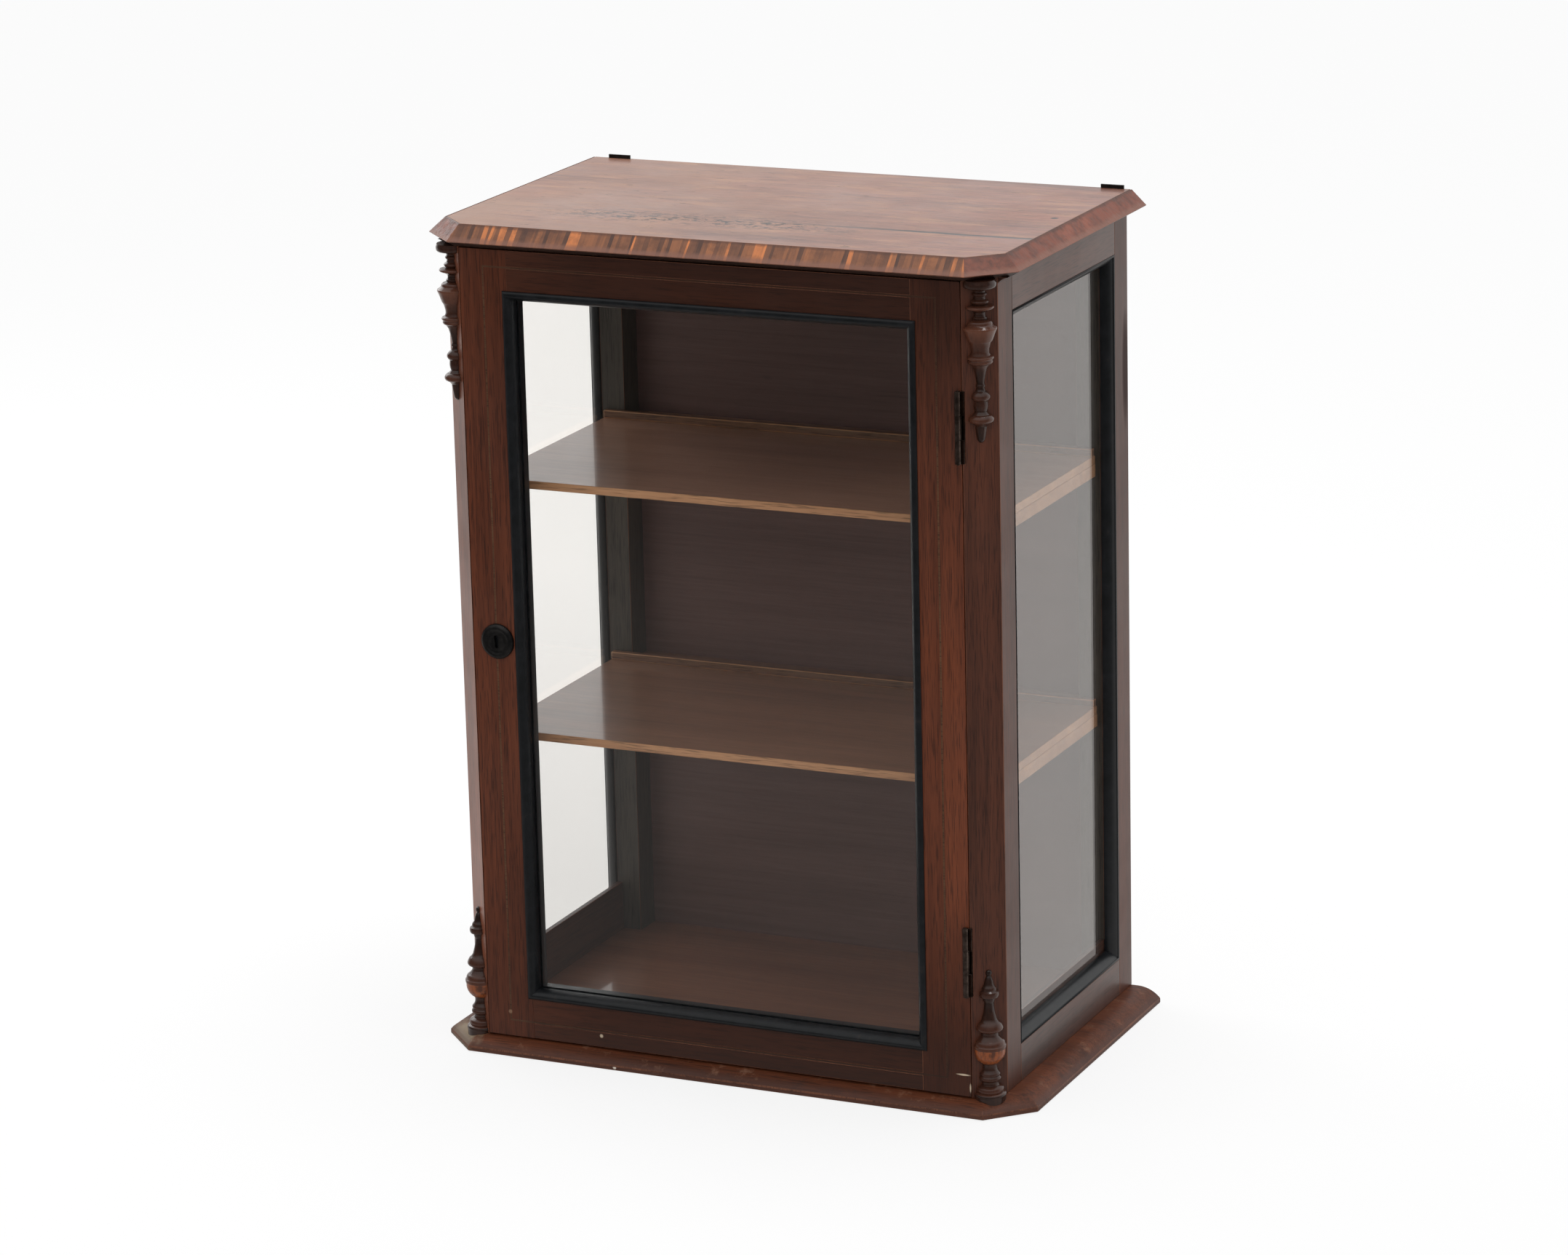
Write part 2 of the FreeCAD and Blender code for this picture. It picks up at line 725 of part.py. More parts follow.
# Hinges: three knuckles round a loose pin, leaves let flush into the post and the door's edge.
knuckle_count = 3
knuckle = (S["hinge_length"] - S["knuckle_gap"] * (knuckle_count - 1)) / knuckle_count
post_gains = []
door_gains = []
for place, level in HINGES:
    low = level - S["hinge_length"] / 2
    high = level + S["hinge_length"] / 2
    bore = rod(place + "_hinge_bore", (hinge_x, hinge_y, low), Z_AXIS, S["pin_radius"] + S["pin_clearance"],
               S["hinge_length"])
    leaves = {
        "post": (half_opening, half_opening + S["leaf_thickness"], 0, hinge_post_screws),
        "door": (door_edge - S["leaf_thickness"], door_edge, 1, hinge_door_screws),
    }
    web_back = hinge_y + S["barrel_radius"]
    web_front = web_back - S["leaf_thickness"]
    for owner, (x_low, x_high, first_knuckle, screws) in leaves.items():
        name = "%s_hinge_%s_leaf" % (place, owner)
        pieces = [block(name + "_plate", (x_low, plate_front, low), (x_high, plate_back, high))]
        for number in range(first_knuckle, knuckle_count, 2):
            start = low + (knuckle + S["knuckle_gap"]) * number
            pieces.append(rod("%s_barrel%d" % (name, number), (hinge_x, hinge_y, start), Z_AXIS,
                              S["barrel_radius"], knuckle))
            pieces.append(block("%s_web%d" % (name, number), (hinge_x, web_front, start),
                                (x_high, web_back, start + knuckle)))
            pieces.append(block("%s_bend%d" % (name, number), (x_low, web_front, start),
                                (x_high, plate_front, start + knuckle)))
        keep(name, cut(name, fuse(name + "_blank", pieces), [bore, screws]))
        gain = block(name + "_gain", (x_low, front - S["hinge_projection"], low), (x_high, plate_back, high))
        clear = rod(name + "_clear", (hinge_x, hinge_y, low - S["barrel_clearance"]), Z_AXIS,
                    S["barrel_radius"] + S["barrel_clearance"], S["hinge_length"] + S["barrel_clearance"] * 2)
        target = post_gains if owner == "post" else door_gains
        target.extend([gain, clear])
    door_gains.append(block(place + "_hinge_relief", (hinge_x, front - S["hinge_projection"], low),
                            (door_edge, plate_front, high)))
    pin_low = low - S["pin_end"]
    keep(place + "_hinge_pin", rod(place + "_hinge_pin", (hinge_x, hinge_y, pin_low), Z_AXIS, S["pin_radius"],
                                   S["hinge_length"] + S["pin_end"] * 2))

# Lock: a case let into the back of the lock stile, a sliding bolt, a strike plate in the post.
lock_low = lock_level - S["lock_height"] / 2
lock_high = lock_level + S["lock_height"] / 2
lock_front = door_back - S["lock_depth"]
lock_wall = S["lock_wall"]
lock_shell = block("lock_shell", (-door_edge, lock_front, lock_low), (lock_inner, door_back, lock_high))
lock_back = block("lock_flange_plate", (-door_edge, door_back - lock_wall, lock_level - flange_half),
                  (lock_inner, door_back, lock_level + flange_half))
lock_blank = fuse("lock_blank", [lock_shell, lock_back])
lock_room = block("lock_room", (-door_edge + lock_wall, lock_front + lock_wall, lock_low + lock_wall),
                  (lock_inner - lock_wall, door_back - lock_wall, lock_high - lock_wall))
slot_half_thickness = S["bolt_thickness"] / 2 + S["bolt_clearance"]
slot_half_height = S["bolt_height"] / 2 + S["bolt_clearance"]
lock_slot = block("lock_slot", (-door_edge, bolt_middle - slot_half_thickness, lock_level - slot_half_height),
                  (-door_edge + lock_wall, bolt_middle + slot_half_thickness, lock_level + slot_half_height))
key_x = -door_edge + S["lock_backset"]
key_depth = S["door_thickness"] - S["lock_depth"] + lock_wall + S["escutcheon_height"]
key_start = front - S["escutcheon_height"]
key_high = lock_level + S["keyhole_drop"] / 2
key_low = lock_level - S["keyhole_drop"] / 2
key_round = rod("key_round", (key_x, key_start, key_high), Y_AXIS, S["keyhole_radius"], key_depth)
key_slot = block("key_slot", (key_x - S["keyhole_slot"] / 2, key_start, key_low),
                 (key_x + S["keyhole_slot"] / 2, lock_front + lock_wall, key_high))
keyhole = fuse("keyhole", [key_round, key_slot])
keep("lock_case", cut("lock_case", lock_blank, [lock_room, lock_slot, keyhole, lock_screws]))
bolt_start = -door_edge + S["bolt_setback"]
keep("lock_bolt", block("lock_bolt", (bolt_start, bolt_middle - S["bolt_thickness"] / 2,
                                      lock_level - S["bolt_height"] / 2),
                        (bolt_start + S["bolt_length"], bolt_middle + S["bolt_thickness"] / 2,
                         lock_level + S["bolt_height"] / 2)))
strike_half_width = S["strike_width"] / 2
strike_half_height = S["strike_height"] / 2
strike_blank = block("strike_blank", (-half_opening - S["strike_thickness"], bolt_middle - strike_half_width,
                                      lock_level - strike_half_height),
                     (-half_opening, bolt_middle + strike_half_width, lock_level + strike_half_height))
mortise_end = -half_opening - S["bolt_mortise_depth"]
bolt_mortise = block("bolt_mortise", (mortise_end, bolt_middle - slot_half_thickness,
                                      lock_level - slot_half_height),
                     (-half_opening, bolt_middle + slot_half_thickness, lock_level + slot_half_height))
keep("strike_plate", cut("strike_plate", strike_blank, [bolt_mortise, strike_screws]))

escutcheon_disc = rod("escutcheon_disc", (key_x, front, lock_level), Y_AXIS.negative(),
                      S["escutcheon_radius"], S["escutcheon_height"])
keep("escutcheon", cut("escutcheon", escutcheon_disc, [keyhole]))

# Posts, cut for the tenons, hinges, strike and screws.
for side, sign in SIDES:
    outline = front_post if sign > 0 else mirrored(front_post)
    post = locate(prism(side + "_front_post_blank", "XY_Plane", outline, S["case_height"]), (0, 0, case_low))
    tools = list(side_tenons[side])
    if side == "right":
        tools += post_gains + [hinge_post_screws]
    else:
        tools += [strike_blank, bolt_mortise, strike_screws]
    keep(side + "_front_post", cut(side + "_front_post", post, tools))
    outline = rear_post if sign > 0 else mirrored(rear_post)
    post = locate(prism(side + "_rear_post_blank", "XY_Plane", outline, S["case_height"]), (0, 0, case_low))
    tools = side_tenons[side] + hanger_gains + [hanger_screws]
    keep(side + "_rear_post", cut(side + "_rear_post", post, tools))

moulding_depth = S["side_rebate"] - S["glass_thickness"]
side_profile = [
    (0, -moulding_depth),
    (S["moulding_width"], -moulding_depth),
    (S["moulding_width"], S["side_inner_edge"] - moulding_depth, S["side_ovolo_bulge"]),
    (S["side_fillet_width"], -S["side_fillet_drop"]),
    (S["side_fillet_width"], 0),
    (0, 0),
]
for side, sign in SIDES:
    x_low, x_high = span(sign, rebate, rebate + S["glass_thickness"])
    keep(side + "_side_glass", block(side + "_side_glass",
                                     (x_low, stile_end + S["glass_gap"], pane_low + S["glass_gap"]),
                                     (x_high, rear_stile_start - S["glass_gap"], pane_high - S["glass_gap"])))
    near = stile_end if sign > 0 else rear_stile_start
    far = rear_stile_start if sign > 0 else stile_end
    face = half_case * sign
    corners = [(face, near, pane_low), (face, far, pane_low), (face, far, pane_high), (face, near, pane_high)]
    run = (rear_stile_start - stile_end, pane_high - pane_low)
    name = side + "_side_moulding"
    keep(name, mitred_frame(name, side_profile, S["moulding_width"], corners, Y_AXIS * sign, X_AXIS * sign,
                            run))

# Back: three boards across the rear posts.
board_half = back_edge - gap
seam = S["back_seam"]
middle_low = case_low + S["back_lower_height"]
upper_low = middle_low + S["back_middle_height"]
BOARDS = (("lower", case_low, middle_low - seam), ("middle", middle_low, upper_low - seam),
          ("upper", upper_low, case_high))
for place, low_level, high_level in BOARDS:
    name = "back_board_" + place
    board = block(name + "_blank", (-board_half, back_front, low_level), (board_half, rear, high_level))
    tools = hanger_gains + [hanger_screws] if place == "upper" else []
    keep(name, cut(name, board, tools))

# Floor and shelves, notched round the rear posts.
deck_half = inner - gap
deck_rear = back_front - gap


def notches(name, low_level, high_level):
    """Two corner cut-outs that clear the rear posts."""
    items = []
    for side, sign in SIDES:
        x_low, x_high = span(sign, rear_post_inner - gap, half_case)
        items.append(block("%s_%s_notch" % (name, side), (x_low, rear_post_front - gap, low_level),
                           (x_high, rear, high_level)))
    return items


floor_blank = block("case_floor_blank", (-deck_half, door_back + S["stop_gap"], case_low),
                    (deck_half, deck_rear, floor_top))
keep("case_floor", cut("case_floor", floor_blank, notches("case_floor", case_low, floor_top)))

shelf_front = front + S["shelf_setback"]
strip_rear = rear_post_front - S["strip_offset"]
SHELVES = (("upper", case_high - S["upper_shelf_drop"]), ("lower", floor_top + S["lower_shelf_rise"]))
for place, level in SHELVES:
    under = level - S["shelf_thickness"]
    name = place + "_shelf"
    board = block(name + "_blank", (-deck_half, shelf_front, under), (deck_half, deck_rear, level))
    keep(name, cut(name, board, notches(name, under, level)))
    keep(place + "_plate_strip", block(place + "_plate_strip",
                                       (-deck_half, strip_rear - S["strip_thickness"], level),
                                       (deck_half, strip_rear, level + S["strip_height"])))
    for side, sign in SIDES:
        x_low, x_high = span(sign, inner - S["cleat_width"], inner)
        name = "%s_%s_cleat" % (place, side)
        keep(name, block(name, (x_low, shelf_front + S["cleat_setback"], under - S["cleat_height"]),
                         (x_high, rear_post_front, under)))

# Door: stiles and rails with tenons, stringing, glass, a bolection moulding and inner beads.
string_x = door_edge - S["stringing_side"]
string_low = door_low + S["stringing_end"]
string_high = door_high - S["stringing_end"]
string_half = S["stringing_width"] / 2
string_back = front + S["stringing_depth"]
lines = []
for side, sign in SIDES:
    lines.append(block(side + "_string", (string_x * sign - string_half, front, string_low - string_half),
                       (string_x * sign + string_half, string_back, string_high + string_half)))
for place, level in (("lower", string_low), ("upper", string_high)):
    lines.append(block(place + "_string", (string_half - string_x, front, level - string_half),
                       (string_x - string_half, string_back, level + string_half)))
stringing = keep("door_stringing", group("door_stringing", lines))

sight_half = door_edge - S["door_stile_width"]
sight_low = door_low + S["door_bottom_rail_height"]
sight_high = door_high - S["door_top_rail_height"]
tenon_front = front + (S["door_thickness"] - S["door_tenon_thickness"]) / 2
tenon_back = tenon_front + S["door_tenon_thickness"]
tenon_half = sight_half + S["door_tenon_length"]
door_tenons = []
for place, low_level, high_level in (("top", sight_high, door_high), ("bottom", door_low, sight_low)):
    name = "door_%s_rail" % place
    rail = block(name + "_blank", (-sight_half, front, low_level), (sight_half, door_back, high_level))
    shoulder = S["door_tenon_shoulder"]
    tenon = block(name + "_tenon", (-tenon_half, tenon_front, low_level + shoulder),
                  (tenon_half, tenon_back, high_level - shoulder))
    door_tenons.append(tenon)
    keep(name, cut(name, fuse(name + "_tenoned", [rail, tenon]), [stringing]))
for node, sign in (("door_lock_stile", -1), ("door_hinge_stile", 1)):
    x_low, x_high = span(sign, sight_half, door_edge)
    stile = block(node + "_blank", (x_low, front, door_low), (x_high, door_back, door_high))
    tools = door_tenons + [stringing]
    if sign > 0:
        tools += door_gains + [hinge_door_screws]
    else:
        tools += [lock_blank, keyhole, lock_screws]
    keep(node, cut(node, stile, tools))

glass_front = front + S["door_glass_depth"]
glass_back = glass_front + S["glass_thickness"]
slack = S["glass_gap"]
keep("door_glass", block("door_glass", (slack - sight_half, glass_front, sight_low + slack),
                         (sight_half - slack, glass_back, sight_high - slack)))
lap = S["door_moulding_lap"]
neck = lap + gap / 2
door_profile = [
    (0, 0),
    (neck, 0),
    (neck, -S["door_glass_depth"]),
    (S["moulding_width"], -S["door_glass_depth"]),
    (S["moulding_width"], S["door_moulding_inner_edge"] - S["door_glass_depth"], S["door_inner_bulge"]),
    (lap, S["door_moulding_rise"], S["door_outer_bulge"]),
    (0, S["door_moulding_edge"]),
]
frame_half = sight_half + lap
frame_low = sight_low - lap
frame_high = sight_high + lap
frame_corners = [(-frame_half, front, frame_low), (frame_half, front, frame_low),
                 (frame_half, front, frame_high), (-frame_half, front, frame_high)]
keep("door_moulding", mitred_frame("door_moulding", door_profile, S["moulding_width"], frame_corners, X_AXIS,
                                   Y_AXIS.negative(), (frame_half * 2, frame_high - frame_low)))
bead = S["bead_width"]
bead_back = glass_back + S["bead_depth"]
beads = []
for side, sign in SIDES:
    x_low, x_high = span(sign, sight_half - bead, sight_half)
    beads.append(block(side + "_bead", (x_low, glass_back, sight_low), (x_high, bead_back, sight_high)))
for place, low_level in (("lower", sight_low), ("upper", sight_high - bead)):
    beads.append(block(place + "_bead", (bead - sight_half, glass_back, low_level),
                       (sight_half - bead, bead_back, low_level + bead)))
keep("door_glazing_beads", group("door_glazing_beads", beads))

stop_front = door_back + S["stop_gap"]
keep("door_stop", block("door_stop", (-inner, stop_front, floor_top),
                        (S["stop_width"] - inner, stop_front + S["stop_thickness"], case_high)))

# Turnings on the cants: drops under the top, finials scribed to the rounded edge of the base.
cant_middle = half_case - S["cant_leg"] / 2
cant_line = front + S["cant_leg"] / 2
for side, sign in SIDES:
    turn = Rotation(Z_AXIS, -135 * sign)
    name = "upper_%s_drop" % side
    drop = turning(name, "drop", DROP_BANDS, -1)
    keep(name, locate(drop, (cant_middle * sign, cant_line, case_high), turn))
    name = "lower_%s_finial" % side
    finial = turning(name + "_round", "finial", FINIAL_BANDS, 1)
    locate(finial, (cant_middle * sign, cant_line, case_low - S["finial_scribe"]), turn)
    keep(name, cut(name, finial, [base_plate]))

doc.recompute()

faults = []
for item in doc.Objects:
    if "Invalid" in item.State or "Error" in item.State:
        faults.append("%s is %s" % (item.Label, ", ".join(item.State)))
for item in SUBPARTS:
    if item.Shape.isNull() or not item.Shape.isValid() or not item.Shape.Solids:
        faults.append("%s has no valid solid" % item.Label)
if faults:
    raise RuntimeError("; ".join(faults))

os.makedirs("parts", exist_ok=True)
for item in SUBPARTS:
    item.Shape.exportStep(os.path.join("parts", item.Label + ".step"))
print("%d sub-parts written" % len(SUBPARTS))
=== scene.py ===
import json
import math
import random

import bmesh
import bpy
from mathutils import Matrix, Vector

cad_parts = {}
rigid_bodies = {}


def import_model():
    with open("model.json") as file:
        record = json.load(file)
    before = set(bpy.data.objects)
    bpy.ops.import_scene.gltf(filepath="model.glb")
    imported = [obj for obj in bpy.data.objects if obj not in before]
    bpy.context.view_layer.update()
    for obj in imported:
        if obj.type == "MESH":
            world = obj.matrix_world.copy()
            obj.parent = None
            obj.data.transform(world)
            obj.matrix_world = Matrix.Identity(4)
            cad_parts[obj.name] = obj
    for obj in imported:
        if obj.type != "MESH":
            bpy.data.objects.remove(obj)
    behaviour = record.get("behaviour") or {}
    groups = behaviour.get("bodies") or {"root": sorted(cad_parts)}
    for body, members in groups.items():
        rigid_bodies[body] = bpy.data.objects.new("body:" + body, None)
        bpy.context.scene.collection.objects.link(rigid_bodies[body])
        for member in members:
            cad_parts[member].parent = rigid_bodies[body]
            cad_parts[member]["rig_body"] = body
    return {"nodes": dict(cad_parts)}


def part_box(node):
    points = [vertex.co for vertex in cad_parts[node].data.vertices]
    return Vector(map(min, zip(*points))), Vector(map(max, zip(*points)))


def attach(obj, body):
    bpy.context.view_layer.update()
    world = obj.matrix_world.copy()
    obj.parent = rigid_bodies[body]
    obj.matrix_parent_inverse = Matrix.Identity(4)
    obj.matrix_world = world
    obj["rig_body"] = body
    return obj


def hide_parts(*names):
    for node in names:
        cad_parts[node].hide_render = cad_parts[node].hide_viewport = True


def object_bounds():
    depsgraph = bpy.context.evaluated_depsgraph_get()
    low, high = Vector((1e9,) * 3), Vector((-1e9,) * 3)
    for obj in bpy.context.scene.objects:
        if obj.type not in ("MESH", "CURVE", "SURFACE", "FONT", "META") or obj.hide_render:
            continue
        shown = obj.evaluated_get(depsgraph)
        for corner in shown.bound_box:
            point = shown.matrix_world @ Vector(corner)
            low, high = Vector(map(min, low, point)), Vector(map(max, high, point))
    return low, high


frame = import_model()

# Glazed display cabinet in red-brown wood with black mouldings. Lengths are in metres unless a
# name ends in _mm or _MM. The front is towards -Y.

cad_low, cad_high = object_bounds()

MM = 0.001
WELD = 2e-6
FLAT = math.radians(1.0)
CREASE = math.radians(28.0)
SMOOTH = math.radians(40.0)
TURNED_SMOOTH = math.radians(32.0)
ESCUTCHEON_SMOOTH = math.radians(50.0)
NOISE_SPAN = (0.3, 0.7)


# Shader helpers

def colour(red, green, blue):
    """A colour written in 0 to 255 display values, as the shader wants it."""
    linear = []
    for value in (red, green, blue):
        share = value / 255
        linear.append(share / 12.92 if share <= 0.04045 else ((share + 0.055) / 1.055) ** 2.4)
    return (*linear, 1.0)


def node(tree, kind, inputs=None, **options):
    """Add a node, set its options, and set or link its inputs."""
    made = tree.nodes.new(kind)
    for option, value in options.items():
        setattr(made, option, value)
    for name, value in (inputs or {}).items():
        if isinstance(value, bpy.types.NodeSocket):
            tree.links.new(value, made.inputs[name])
        else:
            made.inputs[name].default_value = value
    return made


def maths(tree, operation, first, second=0.0, third=0.0):
    inputs = {0: first, 1: second, 2: third}
    return node(tree, "ShaderNodeMath", inputs, operation=operation).outputs[0]


def vectors(tree, operation, first, second):
    return node(tree, "ShaderNodeVectorMath", {0: first, 1: second}, operation=operation).outputs[0]


def blended(tree, share, first, second):
    inputs = {0: share, 6: first, 7: second}
    return node(tree, "ShaderNodeMix", inputs, data_type="RGBA").outputs[2]


def ranged(tree, value, low, high, to_low, to_high):
    inputs = {0: value, 1: low, 2: high, 3: to_low, 4: to_high}
    return node(tree, "ShaderNodeMapRange", inputs).outputs[0]


def ramp(tree, value, stops):
    made = node(tree, "ShaderNodeValToRGB", {0: value})
    elements = made.color_ramp.elements
    while len(elements) < len(stops):
        elements.new(0.5)
    for element, (place, tint) in zip(elements, stops):
        element.position = place
        element.color = tint
    return made.outputs[0]


def noise(tree, place, scale, detail=3.0, roughness=0.55, distortion=0.0):
    inputs = {"Vector": place, "Scale": scale, "Detail": detail, "Roughness": roughness,
              "Distortion": distortion}
    return node(tree, "ShaderNodeTexNoise", inputs).outputs[0]


def here(tree):
    return node(tree, "ShaderNodeTexCoord").outputs["Object"]


def own_place(tree):
    """Object coordinates, shifted by a different amount for each piece."""
    chance = node(tree, "ShaderNodeObjectInfo").outputs["Random"]
    shift = vectors(tree, "MULTIPLY", chance, (7.3, 5.1, 9.7))
    return vectors(tree, "ADD", here(tree), shift)


def drawn_out(tree, place, grain, share):
    """Coordinates squeezed along the grain, so that a pattern is drawn out that way."""
    scale = [1.0, 1.0, 1.0]
    scale["XYZ".index(grain)] = share
    return vectors(tree, "MULTIPLY", place, tuple(scale))


def new_material(name):
    material = bpy.data.materials.new(name)
    material.use_nodes = True
    material.node_tree.nodes.clear()
    return material, material.node_tree


def surface(tree, shader):
    node(tree, "ShaderNodeOutputMaterial", {"Surface": shader.outputs[0]})


def principled(tree, **inputs):
    named = {name.replace("_", " "): value for name, value in inputs.items()}
    surface(tree, node(tree, "ShaderNodeBsdfPrincipled", named))


def bumped(tree, height, strength, distance):
    inputs = {"Height": height, "Strength": strength, "Distance": distance}
    return node(tree, "ShaderNodeBump", inputs).outputs[0]


# Marks of use, with painted light and shade, mixed into a wood's colour, height and roughness

DOOR_FACE_Y = -0.160
DOOR_SPECK_AT = (-0.1246, DOOR_FACE_Y, 0.0264)
DOOR_CHIP_AT = (-0.217, DOOR_FACE_Y, 0.0387)
LEVEL_SCRATCH_AT = (0.232, DOOR_FACE_Y, 0.0354)
UPRIGHT_SCRATCH_AT = (0.2385, DOOR_FACE_Y, 0.0235)
TOP_HOLE_AT = (0.2519, 0.0282, cad_high.z)
CRACK_Y = -0.058
PITS_X = -0.04
PITS_Y = -0.074
SLIVER_AT = (0.2643, 0.1668, 0.607)
DUST_AT = (-0.276, -0.158, 0.008)
BASE_SPECK_AT = (-0.1056, -0.1725, 0.003)


def spot_mask(tree, point, radius, ragged=0.0, stretch=(1.0, 1.0, 1.0)):
    """Mask of a round spot at a point; stretch above 1 narrows it along that axis."""
    spot = here(tree)
    edge = noise(tree, spot, 160.0)
    offset = vectors(tree, "SUBTRACT", spot, point)
    offset = vectors(tree, "MULTIPLY", offset, stretch)
    apart = node(tree, "ShaderNodeVectorMath", {0: offset}, operation="LENGTH").outputs["Value"]
    apart = maths(tree, "MULTIPLY_ADD", edge, ragged, apart)
    return ranged(tree, apart, radius + ragged * 0.5, radius * 0.5 + ragged * 0.5, 0.0, 1.0)


def top_marks_and_sheen(tree, tint, height, roughness):
    """Painted sheen at the left in patches, over a lighter patina; scuffs, dark pits, a small hole and one
    long crack.
    """
    spot = here(tree)
    axes = node(tree, "ShaderNodeSeparateXYZ", {0: spot}).outputs
    drawn = drawn_out(tree, spot, "X", 0.25)
    patches = noise(tree, spot, 7.0, detail=5.0, roughness=0.6)
    # Painted sheen: paler towards the left, in patches, mixed with a lighter patina.
    leftward = ranged(tree, axes["X"], 0.22, -0.22, 0.0, 0.75)
    left_sheen = maths(tree, "MULTIPLY", leftward, ranged(tree, patches, 0.35, 0.6, 0.35, 1.0))
    tint = blended(tree, left_sheen, tint, colour(136, 100, 78))
    scuff = ranged(tree, noise(tree, drawn, 60.0, detail=7.0, roughness=0.75), 0.5, 0.66, 0.0, 0.7)
    tint = blended(tree, scuff, tint, colour(158, 122, 100))
    stain = ranged(tree, noise(tree, drawn, 26.0, detail=5.0, roughness=0.7), 0.44, 0.32, 0.0, 0.75)
    tint = blended(tree, stain, tint, colour(84, 50, 40))
    drift = noise(tree, spot, 16.0, detail=4.0)
    line = maths(tree, "MULTIPLY_ADD", drift, 0.010, axes["Y"])
    line = maths(tree, "ABSOLUTE", maths(tree, "SUBTRACT", line, CRACK_Y))
    thin = ranged(tree, line, 0.0018, 0.0034, 1.0, 0.0)
    crack = maths(tree, "MULTIPLY", thin, ranged(tree, axes["X"], 0.03, 0.16, 0.15, 1.0))
    near_line = maths(tree, "ABSOLUTE", maths(tree, "SUBTRACT", axes["Y"], PITS_Y))
    near_line = ranged(tree, near_line, 0.006, 0.030, 1.0, 0.0)
    span = maths(tree, "ABSOLUTE", maths(tree, "SUBTRACT", axes["X"], PITS_X))
    span = ranged(tree, span, 0.09, 0.17, 1.0, 0.0)
    pits = noise(tree, drawn_out(tree, spot, "X", 0.5), 210.0, detail=4.0, roughness=0.7)
    pits = ranged(tree, pits, 0.51, 0.56, 0.0, 1.0)
    pits = maths(tree, "MULTIPLY", maths(tree, "MULTIPLY", pits, near_line), span)
    hole = spot_mask(tree, TOP_HOLE_AT, 0.0045, stretch=(1.0, 1.0, 0.1))
    specks = ranged(tree, noise(tree, drawn, 240.0, detail=3.0, roughness=0.7), 0.62, 0.70, 0.0, 0.6)
    dark = maths(tree, "MAXIMUM", maths(tree, "MAXIMUM", crack, pits), maths(tree, "MAXIMUM", hole, specks))
    tint = blended(tree, dark, tint, colour(30, 18, 15))
    height = maths(tree, "MULTIPLY_ADD", dark, -5.0, height)
    roughness = maths(tree, "MULTIPLY_ADD", scuff, 0.22, roughness)
    return tint, height, roughness


def door_marks_and_shade(tree, tint, height, roughness):
    """Painted shade at the head and foot of the door, less at the left; a speck of paint, a chip and two
    scratches.
    """
    axes = node(tree, "ShaderNodeSeparateXYZ", {0: here(tree)}).outputs
    # Painted shade: darker towards the top and the bottom of the door, less so at its left-hand edge.
    foot = ranged(tree, axes["Z"], 0.20, 0.06, 0.0, 0.72)
    head = ranged(tree, axes["Z"], 0.56, 0.72, 0.0, 0.75)
    head_foot_shade = maths(tree, "MAXIMUM", foot, head)
    head_foot_shade = maths(tree, "MULTIPLY", head_foot_shade, ranged(tree, axes["X"], -0.22, -0.12, 0.35, 1.0))
    tint = blended(tree, head_foot_shade, tint, colour(38, 17, 8))
    speck = spot_mask(tree, DOOR_SPECK_AT, 0.0022, ragged=0.001)
    chip = spot_mask(tree, DOOR_CHIP_AT, 0.0024, ragged=0.001)
    tint = blended(tree, maths(tree, "MULTIPLY", chip, 0.7), tint, colour(134, 102, 78))
    level_scratch = spot_mask(tree, LEVEL_SCRATCH_AT, 0.0075, ragged=0.003, stretch=(1.0, 1.0, 7.0))
    upright_scratch = spot_mask(tree, UPRIGHT_SCRATCH_AT, 0.0055, ragged=0.002, stretch=(6.0, 1.0, 1.0))
    pale = maths(tree, "MAXIMUM", speck, maths(tree, "MAXIMUM", level_scratch, upright_scratch))
    tint = blended(tree, maths(tree, "MULTIPLY", pale, 0.85), tint, colour(190, 172, 148))
    return tint, height, roughness


def back_marks(tree, tint, height, roughness):
    """Small dark knots in the back boards."""
    inputs = {"Vector": drawn_out(tree, here(tree), "X", 0.5), "Scale": 17.0}
    cells = node(tree, "ShaderNodeTexVoronoi", inputs)
    knots = ranged(tree, cells.outputs["Distance"], 0.03, 0.09, 0.55, 0.0)
    return blended(tree, knots, tint, colour(28, 21, 20)), height, roughness


def rear_marks(tree, tint, height, roughness):
    """A long sliver of veneer gone from the right-hand rear edge."""
    sliver = spot_mask(tree, SLIVER_AT, 0.058, ragged=0.006, stretch=(1.0, 6.5, 1.0))
    tint = blended(tree, maths(tree, "MULTIPLY", sliver, 0.9), tint, colour(48, 22, 16))
    height = maths(tree, "MULTIPLY_ADD", sliver, -3.0, height)
    return tint, height, maths(tree, "MULTIPLY_ADD", sliver, 0.4, roughness)


